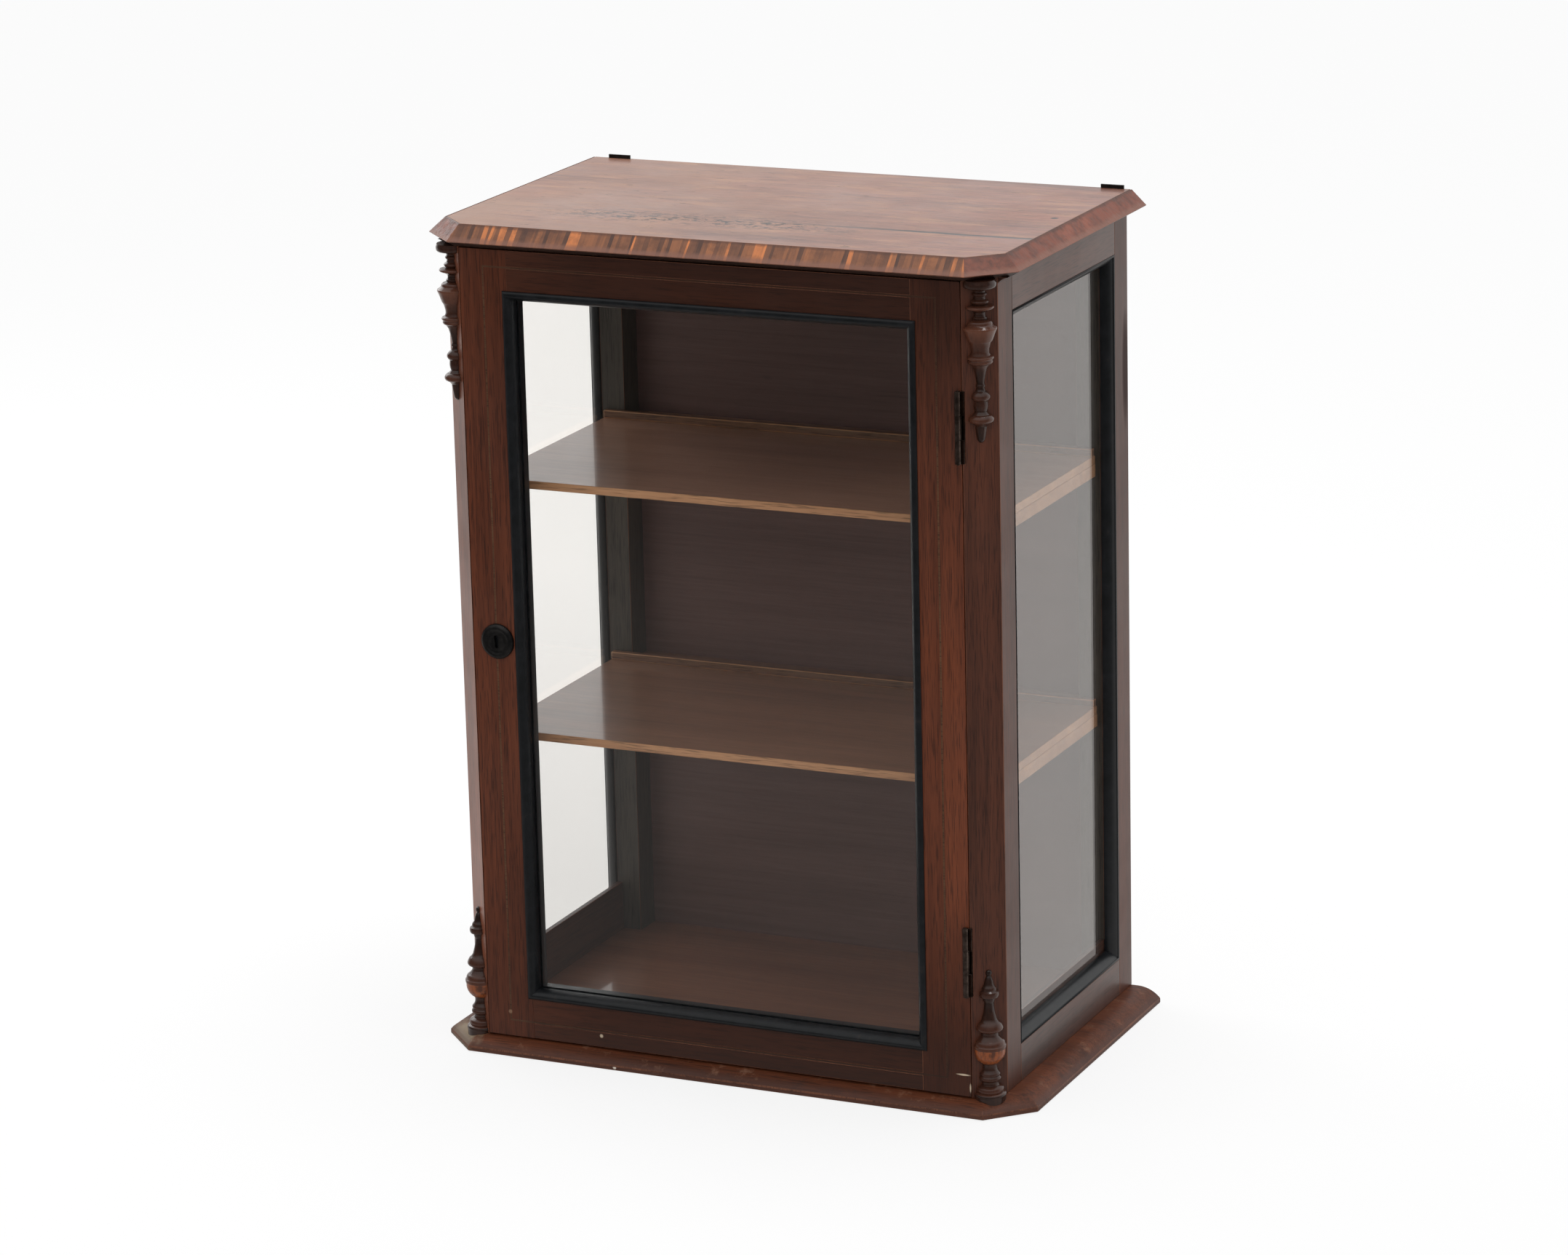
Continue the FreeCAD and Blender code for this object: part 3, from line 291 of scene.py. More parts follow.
def base_marks_and_sheen(tree, tint, height, roughness):
    """Bruises and scuffs, painted sheen on the lower edge, dust in the left corner and a speck of paint."""
    spot = here(tree)
    rubbed = noise(tree, spot, 42.0, detail=7.0, roughness=0.75)
    pale = ranged(tree, rubbed, 0.56, 0.72, 0.0, 0.55)
    dark = ranged(tree, rubbed, 0.42, 0.30, 0.0, 0.7)
    tint = blended(tree, pale, tint, colour(150, 112, 90))
    tint = blended(tree, dark, tint, colour(46, 28, 22))
    dust = spot_mask(tree, DUST_AT, 0.034, ragged=0.03)
    tint = blended(tree, maths(tree, "MULTIPLY", dust, 0.7), tint, colour(150, 136, 112))
    # Painted sheen: greyer towards the lower edge of the base, where its rounded edge catches light.
    level = node(tree, "ShaderNodeSeparateXYZ", {0: spot}).outputs["Z"]
    level = maths(tree, "MULTIPLY_ADD", rubbed, 0.004, maths(tree, "SUBTRACT", level, 0.002))
    lower = ranged(tree, level, 0.0105, 0.0065, 0.0, 0.6)
    tint = blended(tree, lower, tint, colour(74, 52, 46))
    speck = spot_mask(tree, BASE_SPECK_AT, 0.0022, ragged=0.001)
    tint = blended(tree, speck, tint, colour(214, 204, 190))
    return tint, height, maths(tree, "MULTIPLY_ADD", pale, 0.2, roughness)


# Materials

def wood(name, grain, dark, light, rough=(0.32, 0.46), specular=0.3, coat=0.1, coat_rough=0.14,
         pore_share=0.45, relief=0.1, marks=None):
    """Polished wood with its grain along one axis: broad drift, ribbons, fibres and open pores."""
    material, tree = new_material(name)
    place = own_place(tree)
    broad = noise(tree, drawn_out(tree, place, grain, 0.3), 7.0, detail=2.0)
    ribbon = noise(tree, drawn_out(tree, place, grain, 0.05), 46.0, detail=3.0, distortion=0.3)
    fibre = noise(tree, drawn_out(tree, place, grain, 0.02), 360.0, detail=3.0, roughness=0.6)
    tone = maths(tree, "MULTIPLY", broad, 0.38)
    tone = maths(tree, "MULTIPLY_ADD", ribbon, 0.34, tone)
    tone = maths(tree, "MULTIPLY_ADD", fibre, 0.28, tone)
    tint = ramp(tree, tone, [(0.34, dark), (0.66, light)])
    pores = noise(tree, drawn_out(tree, place, grain, 0.04), 1100.0, detail=1.0)
    pore_mask = ranged(tree, pores, 0.36, 0.45, pore_share, 0.0)
    tint = blended(tree, pore_mask, tint, colour(16, 9, 7))
    smudge = noise(tree, place, 9.0, detail=4.0, roughness=0.65)
    roughness = ranged(tree, smudge, *NOISE_SPAN, *rough)
    height = fibre
    if marks:
        tint, height, roughness = marks(tree, tint, height, roughness)
    normal = bumped(tree, height, relief, 0.0003)
    principled(tree, Base_Color=tint, Roughness=roughness, Normal=normal, Specular_IOR_Level=specular,
               Coat_Weight=coat, Coat_Roughness=coat_rough)
    return material


def turned_wood(name, stops):
    """Wood from the lathe: dark in the hollows, partly polish and partly painted shade, and rubbed brighter
    on the crests.
    """
    material, tree = new_material(name)
    place = own_place(tree)
    crests = node(tree, "ShaderNodeAttribute", attribute_name="crest").outputs["Fac"]
    patches = noise(tree, place, 90.0, detail=4.0, roughness=0.65)
    fibre = noise(tree, drawn_out(tree, place, "Z", 0.05), 420.0)
    tone = maths(tree, "MULTIPLY_ADD", patches, 0.5, crests)
    tone = maths(tree, "MULTIPLY_ADD", fibre, 0.3, maths(tree, "SUBTRACT", tone, 0.4))
    tint = ramp(tree, tone, stops)
    roughness = ranged(tree, patches, *NOISE_SPAN, 0.3, 0.4)
    normal = bumped(tree, fibre, 0.06, 0.0002)
    principled(tree, Base_Color=tint, Roughness=roughness, Normal=normal, Specular_IOR_Level=0.15,
               Coat_Weight=0.5, Coat_Roughness=0.05)
    return material


def black_wood():
    """Ebonised moulding: near black, soft gloss, brown where it is rubbed."""
    material, tree = new_material("ebonised_moulding")
    place = own_place(tree)
    rubbed = noise(tree, place, 70.0, detail=5.0, roughness=0.7)
    stops = [(0.35, colour(15, 17, 19)), (0.62, colour(24, 26, 29)), (0.78, colour(44, 38, 34))]
    roughness = ranged(tree, rubbed, *NOISE_SPAN, 0.3, 0.45)
    normal = bumped(tree, noise(tree, place, 420.0, detail=2.0), 0.06, 0.0003)
    principled(tree, Base_Color=ramp(tree, rubbed, stops), Roughness=roughness, Normal=normal,
               Specular_IOR_Level=0.25, Coat_Weight=0.1, Coat_Roughness=0.2)
    return material


def veneer(name, stops, stripe_scale, sheet, grimy):
    """Cross-grain veneer: each block has its own tone; grime above, a rubbed line at the foot."""
    material, tree = new_material(name)
    tone = node(tree, "ShaderNodeAttribute", attribute_name="tone").outputs["Fac"]
    place = own_place(tree)
    stripe = noise(tree, vectors(tree, "MULTIPLY", place, stripe_scale), 480.0, detail=3.0)
    tint = ramp(tree, maths(tree, "MULTIPLY_ADD", stripe, 0.4, maths(tree, "SUBTRACT", tone, 0.2)), stops)
    uneven = noise(tree, place, 55.0, detail=5.0, roughness=0.7)
    tint = blended(tree, ranged(tree, uneven, 0.46, 0.66, 0.0, grimy), tint, colour(60, 36, 28))
    low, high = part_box(sheet)
    level = node(tree, "ShaderNodeSeparateXYZ", {0: here(tree)}).outputs["Z"]
    level = maths(tree, "MULTIPLY_ADD", uneven, 0.004, maths(tree, "SUBTRACT", level, 0.002))
    foot = ranged(tree, level, low.z + 0.002, low.z + 0.0045, 0.7, 0.0)
    tint = blended(tree, foot, tint, colour(118, 80, 66))
    head = ranged(tree, level, high.z - 0.0022, high.z - 0.0008, 0.0, 0.6)
    tint = blended(tree, head, tint, colour(72, 44, 34))
    roughness = ranged(tree, stripe, *NOISE_SPAN, 0.42, 0.6)
    normal = bumped(tree, stripe, 0.15, 0.0003)
    principled(tree, Base_Color=tint, Roughness=roughness, Normal=normal, Specular_IOR_Level=0.4)
    return material


def metal(name, tint, tarnish, rough, metallic=1.0):
    """Aged metal with patches of tarnish."""
    material, tree = new_material(name)
    patch = noise(tree, own_place(tree), 130.0, detail=5.0, roughness=0.7)
    share = ranged(tree, patch, 0.38, 0.62, 0.0, 1.0)
    roughness = ranged(tree, patch, *NOISE_SPAN, *rough)
    normal = bumped(tree, patch, 0.15, 0.0003)
    principled(tree, Base_Color=blended(tree, share, tint, tarnish), Roughness=roughness, Metallic=metallic,
               Normal=normal)
    return material


def clear_glass():
    """Old window glass, faintly uneven in tint, that lets lamp light through."""
    material, tree = new_material("clear_glass")
    uneven = noise(tree, own_place(tree), 4.0, detail=2.0)
    tint = blended(tree, uneven, (0.975, 0.985, 0.978, 1.0), (0.995, 1.0, 0.995, 1.0))
    inputs = {"Base Color": tint, "Roughness": 0.0, "IOR": 1.5, "Transmission Weight": 1.0}
    pane = node(tree, "ShaderNodeBsdfPrincipled", inputs)
    way_through = node(tree, "ShaderNodeBsdfTransparent", {"Color": (0.93, 0.945, 0.935, 1.0)})
    path = node(tree, "ShaderNodeLightPath").outputs
    share = maths(tree, "MAXIMUM", path["Is Shadow Ray"], path["Is Diffuse Ray"])
    shaders = {0: share, 1: pane.outputs[0], 2: way_through.outputs[0]}
    surface(tree, node(tree, "ShaderNodeMixShader", shaders))
    return material


# The door's woods carry painted shade at the head and foot of the door.
stile_wood = wood("mahogany_upright", "Z", colour(70, 31, 14), colour(116, 57, 30), marks=door_marks_and_shade)
post_wood = wood("mahogany_posts", "Z", colour(50, 25, 15), colour(88, 46, 29))
# Lighter copy of the post wood for the left front post: painted sheen on the left cant.
left_post_painted_sheen = wood("mahogany_left_post_painted_sheen", "Z", colour(78, 42, 28), colour(128, 74, 52))
rail_wood = wood("mahogany_level", "X", colour(58, 27, 13), colour(98, 49, 27), marks=door_marks_and_shade)
side_rail_wood = wood("mahogany_sideways", "Y", colour(40, 24, 19), colour(84, 53, 42), specular=0.4,
                      coat=0.2)
worn = wood("mahogany_worn_edge", "Z", colour(66, 36, 25), colour(124, 76, 52), rough=(0.4, 0.55),
            coat=0.0)
base_wood = wood("mahogany_base", "X", colour(56, 28, 16), colour(114, 61, 36), rough=(0.45, 0.6),
                 specular=0.2, coat=0.0, marks=base_marks_and_sheen)
top_wood = wood("top_veneer", "X", colour(88, 50, 39), colour(138, 88, 69), rough=(0.34, 0.48), specular=0.4,
                coat=0.2, marks=top_marks_and_sheen)
nose_wood = wood("top_nose", "X", colour(34, 23, 19), colour(64, 44, 36))
SHELF_POLISH = {"rough": (0.3, 0.38), "specular": 0.4, "coat": 1.0, "coat_rough": 0.07, "pore_share": 0.15,
                "relief": 0.02}
shelf_wood = wood("shelf_wood", "X", colour(108, 73, 56), colour(146, 105, 82), **SHELF_POLISH)
# Lighter copy of the shelf wood for the upper shelf: painted light, since the top board shades it.
upper_shelf_painted_light = wood("upper_shelf_painted_light", "X", colour(132, 92, 76), colour(172, 128, 106), **SHELF_POLISH)
floor_wood = wood("case_floor_wood", "X", colour(102, 63, 46), colour(138, 92, 70), **SHELF_POLISH)
strip_wood = wood("plate_strips", "X", colour(86, 58, 42), colour(120, 84, 62))
shelf_edge = wood("shelf_edge", "X", colour(138, 92, 62), colour(186, 136, 98), rough=(0.36, 0.5), coat=0.1)
back_wood = wood("back_boards", "X", colour(84, 60, 55), colour(106, 79, 73), rough=(0.4, 0.6), coat=0.0,
                 pore_share=0.08, marks=back_marks)
rear_wood = wood("rear_posts_inner", "Z", colour(52, 45, 39), colour(76, 66, 57), rough=(0.36, 0.5),
                 coat=0.05)
rear_outer = wood("rear_posts_outer", "Z", colour(50, 26, 17), colour(88, 48, 33), marks=rear_marks)
DROP_STOPS = [(0.15, colour(32, 19, 14)), (0.55, colour(66, 37, 26)), (0.95, colour(96, 57, 40))]
FINIAL_STOPS = [(0.15, colour(32, 19, 14)), (0.7, colour(66, 37, 26)), (0.88, colour(76, 42, 28)),
                (0.98, colour(128, 68, 36))]
drop_wood = turned_wood("turned_drop", DROP_STOPS)
finial_wood = turned_wood("turned_finial", FINIAL_STOPS)
black = black_wood()
stringing = wood("pale_stringing", "X", colour(66, 40, 24), colour(98, 64, 40), marks=door_marks_and_shade)
BLOCK_STOPS = [(0.05, colour(72, 46, 36)), (0.4, colour(110, 69, 47)), (0.72, colour(138, 86, 54)),
               (1.0, colour(188, 112, 62))]
VENEER_STOPS = [(0.1, colour(84, 44, 32)), (0.5, colour(122, 65, 47)), (0.95, colour(152, 86, 61))]
blocks = veneer("cross_banding", BLOCK_STOPS, (1.0, 0.12, 0.12), "front_bevel_banding", 0.45)
veneers = veneer("bevel_veneer", VENEER_STOPS, (0.5, 1.0, 0.12), "bevel_veneers", 0.7)
glass = clear_glass()
brass = metal("aged_brass", colour(112, 98, 90), colour(74, 62, 56), (0.36, 0.54))
# Darker brass for the hinge leaves' webs beside the barrels: painted shade.
brass_painted_shade = metal("brass_painted_shade", colour(64, 46, 38), colour(38, 27, 22), (0.5, 0.7))
iron = metal("blackened_iron", colour(40, 38, 37), colour(22, 21, 21), (0.3, 0.46), metallic=0.6)
steel = metal("lock_steel", colour(120, 118, 116), colour(70, 66, 62), (0.35, 0.55))


# Pieces made from the CAD nodes: the same shapes with their edges softly rounded


def finish_mesh(name, bm, materials, stands_for, smooth=SMOOTH):
    """Make the piece, shade it, and let it ride in place of its CAD node."""
    mesh = bpy.data.meshes.new(name)
    bm.normal_update()
    bm.to_mesh(mesh)
    bm.free()
    for material in materials:
        mesh.materials.append(material)
    mesh.shade_smooth()
    mesh.set_sharp_from_angle(angle=smooth)
    piece = bpy.data.objects.new(name, mesh)
    bpy.context.scene.collection.objects.link(piece)
    weighted = piece.modifiers.new("even_normals", "WEIGHTED_NORMAL")
    weighted.keep_sharp = True
    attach(piece, frame["nodes"][stands_for]["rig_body"])
    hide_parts(stands_for)
    return piece


def welded(name):
    """The CAD node's mesh with its faces joined up."""
    bm = bmesh.new()
    bm.from_mesh(frame["nodes"][name].data)
    bmesh.ops.remove_doubles(bm, verts=bm.verts, dist=WELD)
    bmesh.ops.dissolve_limit(bm, angle_limit=FLAT, verts=bm.verts, edges=bm.edges)
    return bm


def dressed(name, material, edge_material, width_mm, other=None):
    """Copy of a CAD node with its outer edges rounded; other paints chosen faces differently."""
    bm = welded(name)
    materials = [material, edge_material]
    if other:
        other_material, chosen = other
        materials.append(other_material)
        for face in bm.faces:
            face.material_index = 2 if chosen(face) else 0
    sharp = [edge for edge in bm.edges
             if edge.is_manifold and edge.is_convex and edge.calc_face_angle() > CREASE]
    rounded = bmesh.ops.bevel(bm, geom=sharp, offset=width_mm * MM, segments=2, profile=0.5,
                              affect="EDGES", clamp_overlap=True)
    for face in rounded["faces"]:
        face.material_index = 1
    return finish_mesh(name + "_dressed", bm, materials, name)


def faces_out(face):
    return face.normal.y < -0.7 or abs(face.normal.x) > 0.7


def faces_inside(face):
    return face.normal.y < -0.7 or face.normal.x * face.calc_center_median().x < -0.1


def faces_up(face):
    return face.normal.z > 0.9


hinge_low, hinge_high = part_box("upper_hinge_pin")
hinge_axis = (hinge_low + hinge_high) / 2
BARREL_REACH = 3.0 * MM


def off_barrel(face):
    """Faces of a hinge leaf that are not on its barrel."""
    spot = face.calc_center_median() - hinge_axis
    return math.hypot(spot.x, spot.y) > BARREL_REACH


EDGE_MM = 0.5
SHELF_EDGE_MM = 0.6
STRIP_EDGE_MM = 0.8
BACK_EDGE_MM = 0.4
BASE_EDGE_MM = 0.9
TOP_EDGE_MM = 0.6
MOULDING_EDGE_MM = 0.35
LEAF_EDGE_MM = 0.15
dressed("left_front_post", left_post_painted_sheen, worn, EDGE_MM)
for name in ("right_front_post", "door_stop"):
    dressed(name, post_wood, worn, EDGE_MM)
for name in ("door_lock_stile", "door_hinge_stile"):
    dressed(name, stile_wood, worn, EDGE_MM)
for name in ("left_rear_post", "right_rear_post"):
    dressed(name, rear_outer, worn, EDGE_MM, (rear_wood, faces_inside))
for name in ("door_top_rail", "door_bottom_rail"):
    dressed(name, rail_wood, worn, EDGE_MM)
for name in ("left_top_rail", "right_top_rail", "left_bottom_rail", "right_bottom_rail", "cornice_coves"):
    dressed(name, side_rail_wood, worn, EDGE_MM)
dressed("upper_shelf", upper_shelf_painted_light, shelf_edge, SHELF_EDGE_MM, (shelf_edge, faces_out))
dressed("lower_shelf", shelf_wood, shelf_edge, SHELF_EDGE_MM, (shelf_edge, faces_out))
for name in ("upper_plate_strip", "lower_plate_strip"):
    dressed(name, strip_wood, shelf_edge, STRIP_EDGE_MM)
for name in ("upper_left_cleat", "upper_right_cleat", "lower_left_cleat", "lower_right_cleat"):
    dressed(name, shelf_edge, shelf_edge, STRIP_EDGE_MM)
dressed("case_floor", floor_wood, floor_wood, EDGE_MM)
for name in ("back_board_lower", "back_board_middle", "back_board_upper"):
    dressed(name, back_wood, back_wood, BACK_EDGE_MM)
dressed("base_plate", base_wood, worn, BASE_EDGE_MM)
dressed("top_board", nose_wood, worn, TOP_EDGE_MM, (top_wood, faces_up))
for name in ("left_side_moulding", "right_side_moulding", "door_moulding"):
    dressed(name, black, black, MOULDING_EDGE_MM)
for name in ("left_hanger_plate", "right_hanger_plate"):
    dressed(name, iron, iron, EDGE_MM)
for place in ("upper", "lower"):
    for owner in ("door", "post"):
        name = "%s_hinge_%s_leaf" % (place, owner)
        # Leaf faces off the barrel take the darker brass as painted shade.
        dressed(name, brass, brass, LEAF_EDGE_MM, (brass_painted_shade, off_barrel))

CAD_FINISHES = {
    "door_stringing": stringing,
    "door_glazing_beads": black,
    "door_glass": glass,
    "left_side_glass": glass,
    "right_side_glass": glass,
    "upper_hinge_pin": brass,
    "lower_hinge_pin": brass,
    "strike_plate": steel,
    "lock_case": steel,
    "lock_bolt": steel,
}
for name, material in CAD_FINISHES.items():
    mesh = frame["nodes"][name].data
    mesh.materials.clear()
    mesh.materials.append(material)


# Bevel veneers: rows of thin blocks on the sloping edge of the top

SLOPE_LEAST = 0.2
SLOPE_MOST = 0.9
SHEET_AREA = 1e-4
TOUCHING = 1e-6
VENEER_DEPTH_MM = 1.2
VENEER_SINK_MM = 0.08
TONE_SPREAD = 0.1


def sloping_sheets(name):
    """Each sloping sheet of a node: the ends of its lower and upper edges, and its normal."""
    bm = welded(name)
    sheets = []
    for face in bm.faces:
        if SLOPE_LEAST < face.normal.z < SLOPE_MOST and face.calc_area() > SHEET_AREA:
            along = Vector((-face.normal.y, face.normal.x, 0)).normalized()
            middle = sum(vert.co.z for vert in face.verts) / len(face.verts)
            lower = sorted((vert.co.copy() for vert in face.verts if vert.co.z < middle), key=along.dot)
            upper = sorted((vert.co.copy() for vert in face.verts if vert.co.z > middle), key=along.dot)
            sheets.append((lower[0], lower[-1], upper[0], upper[-1], along, face.normal.copy()))
    bm.free()
    return sheets


def held(start, end, along, place):
    """The point at a place along an edge, held between the edge's two ends."""
    first = start.dot(along)
    return start + along * (min(max(place, first), end.dot(along)) - first)


def veneer_row(name, material, widths_mm, tones, skew_mm, seed):
    """Blocks of uneven width along each sheet of a node, each with its own tone."""
    chance = random.Random(seed)
    depth = VENEER_DEPTH_MM * MM
    bm = bmesh.new()
    tone = bm.faces.layers.float.new("tone")
    for lower_start, lower_end, upper_start, upper_end, along, normal in sloping_sheets(name):
        last = lower_end.dot(along)
        cuts = [lower_start.dot(along)]
        while cuts[-1] + widths_mm[1] * MM < last:
            cuts.append(cuts[-1] + chance.uniform(*widths_mm) * MM)
        cuts.append(last)
        joints = [(cut, cut + chance.uniform(-skew_mm, skew_mm) * MM) for cut in cuts]
        for (low_from, high_from), (low_to, high_to) in zip(joints, joints[1:]):
            outline = [held(lower_start, lower_end, along, place) for place in (low_from, low_to)]
            outline += [held(upper_start, upper_end, along, place) for place in (high_to, high_from)]
            lift = normal * chance.uniform(-VENEER_SINK_MM, 0.0) * MM
            outer = [bm.verts.new(point + lift) for point in outline]
            under = [bm.verts.new(point - normal * depth) for point in outline]
            made = [bm.faces.new(outer), bm.faces.new(list(reversed(under)))]
            for step in range(4):
                after = (step + 1) % 4
                made.append(bm.faces.new([outer[after], outer[step], under[step], under[after]]))
            value = chance.choice(tones) + chance.uniform(-TONE_SPREAD, TONE_SPREAD)
            for face in made:
                face[tone] = value
    bmesh.ops.dissolve_degenerate(bm, dist=TOUCHING, edges=bm.edges)
    bmesh.ops.recalc_face_normals(bm, faces=bm.faces)
    return finish_mesh(name + "_blocks", bm, [material], name)


BLOCK_WIDTHS_MM = (1.8, 5.2)
BLOCK_TONES = (0.15, 0.3, 0.4, 0.45, 0.5, 0.55, 0.6, 0.68, 0.95)
BLOCK_SKEW_MM = 0.7
LEAF_WIDTHS_MM = (60.0, 120.0)
LEAF_TONES = (0.35, 0.45, 0.5, 0.6)
LEAF_SKEW_MM = 3.0
veneer_row("front_bevel_banding", blocks, BLOCK_WIDTHS_MM, BLOCK_TONES, BLOCK_SKEW_MM, seed=11)
veneer_row("bevel_veneers", veneers, LEAF_WIDTHS_MM, LEAF_TONES, LEAF_SKEW_MM, seed=5)


# Turnings: half-round lathe forms on the canted corners

BULGE_STEPS = 6


def lathe_points(start_radius_mm, steps):
    """Profile as (level, radius) in mm; a step is (end level, end radius, bulge outwards)."""
    points = [(0.0, start_radius_mm)]
    for end_level, end_radius, bulge in steps:
        first = Vector(points[-1])
        chord = Vector((end_level, end_radius)) - first
        side = Vector((-chord.y, chord.x)).normalized()
        count = BULGE_STEPS if bulge else 1
        for number in range(1, count + 1):
            share = number / count
            spot = first + chord * share + side * bulge * 4 * share * (1 - share)
            points.append((spot.x, spot.y))
    return points


DROP_START_MM = 13.8
DROP_STEPS = [
    (1.6, 14.2, 0), (5.6, 14.4, 0.4), (7.2, 12.6, 0.3), (8.0, 7.4, 0), (9.2, 6.0, 0), (11.0, 5.4, -0.2),
    (14.4, 5.4, 1.3), (16.8, 5.6, -0.2), (18.2, 7.6, 0), (20.4, 7.6, 0.5), (21.8, 6.4, 0), (22.8, 11.6, 0),
    (25.4, 11.6, 0.9), (26.6, 8.0, 0), (28.2, 5.6, 0), (31.8, 5.4, -0.4), (32.6, 6.2, 0), (34.2, 6.2, 0.4),
    (35.4, 9.2, 0), (38.6, 11.2, 0.6), (40.0, 12.6, 0), (41.4, 14.7, 0), (43.4, 14.7, 0.3), (46.0, 13.6, 0),
    (52.8, 11.2, 0), (58.0, 8.9, -0.4), (63.4, 8.2, -0.3), (65.6, 9.2, 0), (66.6, 11.2, 0), (69.2, 11.4, 0.7),
    (70.0, 10.6, 0), (72.8, 10.4, 0.6), (73.8, 8.4, 0), (75.8, 7.2, 0), (77.2, 6.2, 0), (90.0, 3.5, -0.3),
    (91.2, 3.7, 0), (94.0, 3.7, 0.6), (97.0, 4.8, -0.3), (99.6, 7.6, 0.2), (104.6, 7.6, 1.0), (106.0, 6.2, 0),
    (108.4, 6.4, 0), (115.0, 5.4, 0.4), (117.6, 7.6, 0), (119.4, 10.4, 0.3), (124.0, 10.4, 1.0),
    (125.8, 7.2, 0), (128.0, 5.2, 0), (137.6, 3.8, 0.2), (142.8, 0.3, 1.0),
]
FINIAL_START_MM = 14.2
FINIAL_STEPS = [
    (6.0, 14.4, 0), (9.2, 13.8, 0.6), (10.0, 12.0, 0), (14.8, 11.4, 0.8), (16.3, 8.4, 0), (19.7, 7.8, -0.3),
    (21.0, 9.4, 0), (24.0, 9.6, 0.6), (25.0, 8.8, 0), (28.4, 8.6, 0.8), (30.0, 7.4, 0), (34.4, 6.6, -0.3),
    (36.0, 7.0, 0), (49.8, 14.2, 2.2), (50.6, 14.6, 0), (53.4, 14.8, 0.15), (54.2, 13.9, 0),
    (59.0, 11.0, 0.9), (62.0, 8.4, 0), (65.4, 8.2, -0.3), (67.0, 11.2, 0), (71.2, 11.8, 0.8),
    (75.4, 8.8, 0.4), (79.6, 6.6, -0.4), (92.6, 4.2, -0.4), (94.4, 5.2, 0), (97.0, 5.8, 0), (98.2, 8.4, 0),
    (103.2, 8.6, 0.6), (104.4, 6.8, 0), (108.2, 5.4, 0.5), (109.6, 4.6, 0), (116.4, 2.5, 0.3),
    (117.4, 1.7, 0), (121.6, 2.4, 0.8), (122.6, 0.3, 0.4),
]
FINIAL_CUP_MM = (36.0, 51.0)
NO_CUP_MM = (0.0, 0.0)
TURN_COUNT = 40
WIDEST_MM = 15.0
CUP_LEAST_MM = 14.4
CREST_SHARE = 0.82
SHADED_MM = 9.0
SHADED_SHARE = 0.3


def rub_and_shade_share(level_mm, radius_mm, cup_mm):
    """How bright the polish is at a level: most on the cup, with painted shade in narrow hollows and least
    next to the board.
    """
    if cup_mm[0] < level_mm < cup_mm[1]:
        return max(radius_mm, CUP_LEAST_MM) / WIDEST_MM
    # Painted shade next to the board: under the top's overhang for the drops, beside the base for the
    # finials.
    if level_mm < SHADED_MM:
        return SHADED_SHARE
    # Narrower levels are darker: painted shade in the hollows, partly rubbed polish on the crests.
    return CREST_SHARE * radius_mm / WIDEST_MM


def half_round(name, profile, way, middle, normal, stands_for, material, cup_mm):
    """Half-round turning along Z, flat side on the cant; its cup, between two levels, is rubbed bright."""
    bm = bmesh.new()
    crest = bm.verts.layers.float.new("crest")
    tangent = Vector((-normal.y, normal.x, 0))
    rings = []
    for level_mm, radius_mm in profile:
        ring = []
        for number in range(TURN_COUNT + 1):
            angle = math.pi * number / TURN_COUNT
            offset = (tangent * math.cos(angle) + normal * math.sin(angle)) * radius_mm
            vert = bm.verts.new(middle + (offset + Vector((0, 0, way * level_mm))) * MM)
            vert[crest] = rub_and_shade_share(level_mm, radius_mm, cup_mm)
            ring.append(vert)
        rings.append(ring)
    for lower, upper in zip(rings, rings[1:]):
        for number in range(TURN_COUNT):
            bm.faces.new([lower[number], lower[number + 1], upper[number + 1], upper[number]])
        bm.faces.new([lower[0], upper[0], upper[-1], lower[-1]])
    bm.faces.new(rings[0])
    bm.faces.new(rings[-1])
    bmesh.ops.recalc_face_normals(bm, faces=bm.faces)
    return finish_mesh(name, bm, [material], stands_for, smooth=TURNED_SMOOTH)


post_low, post_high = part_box("right_front_post")
cant_leg = post_high.x - post_low.x
for side, sign in (("left", -1), ("right", 1)):
    normal = Vector((sign, -1, 0)).normalized()
    middle = Vector((sign * (post_high.x - cant_leg / 2), post_low.y + cant_leg / 2, post_high.z))
    profile = lathe_points(DROP_START_MM, DROP_STEPS)
    half_round("upper_%s_turned_drop" % side, profile, -1, middle, normal, "upper_%s_drop" % side,
               drop_wood, NO_CUP_MM)
    middle.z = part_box("lower_%s_finial" % side)[0].z
    profile = lathe_points(FINIAL_START_MM, FINIAL_STEPS)
    half_round("lower_%s_turned_finial" % side, profile, 1, middle, normal, "lower_%s_finial" % side,
               finial_wood, FINIAL_CUP_MM)


# Escutcheon: a turned black ring with a raised rim, dished round its keyhole

ESCUTCHEON_COUNT = 64
KEYHOLE_RADIUS_MM = 2.4
KEYHOLE_SLOT_MM = 1.2
KEYHOLE_RISE_MM = 3.8
KEYHOLE_FOOT_MM = 5.6
KEYHOLE_WAIST = -0.55
KEYHOLE_FLARE_MM = 1.6
KEYHOLE_FLOOR_MM = 0.2
DISH_MM = 0.9


def keyhole_point(angle):
    """Point on the keyhole's edge, (across, up) in mm, for an angle round its middle."""
    across = math.cos(angle)
    rise = math.sin(angle)
    if rise > KEYHOLE_WAIST:
        return across * KEYHOLE_RADIUS_MM, KEYHOLE_RISE_MM + rise * KEYHOLE_RADIUS_MM
    across = max(-KEYHOLE_SLOT_MM, min(KEYHOLE_SLOT_MM, across * KEYHOLE_FLARE_MM))
    return across, -KEYHOLE_FOOT_MM


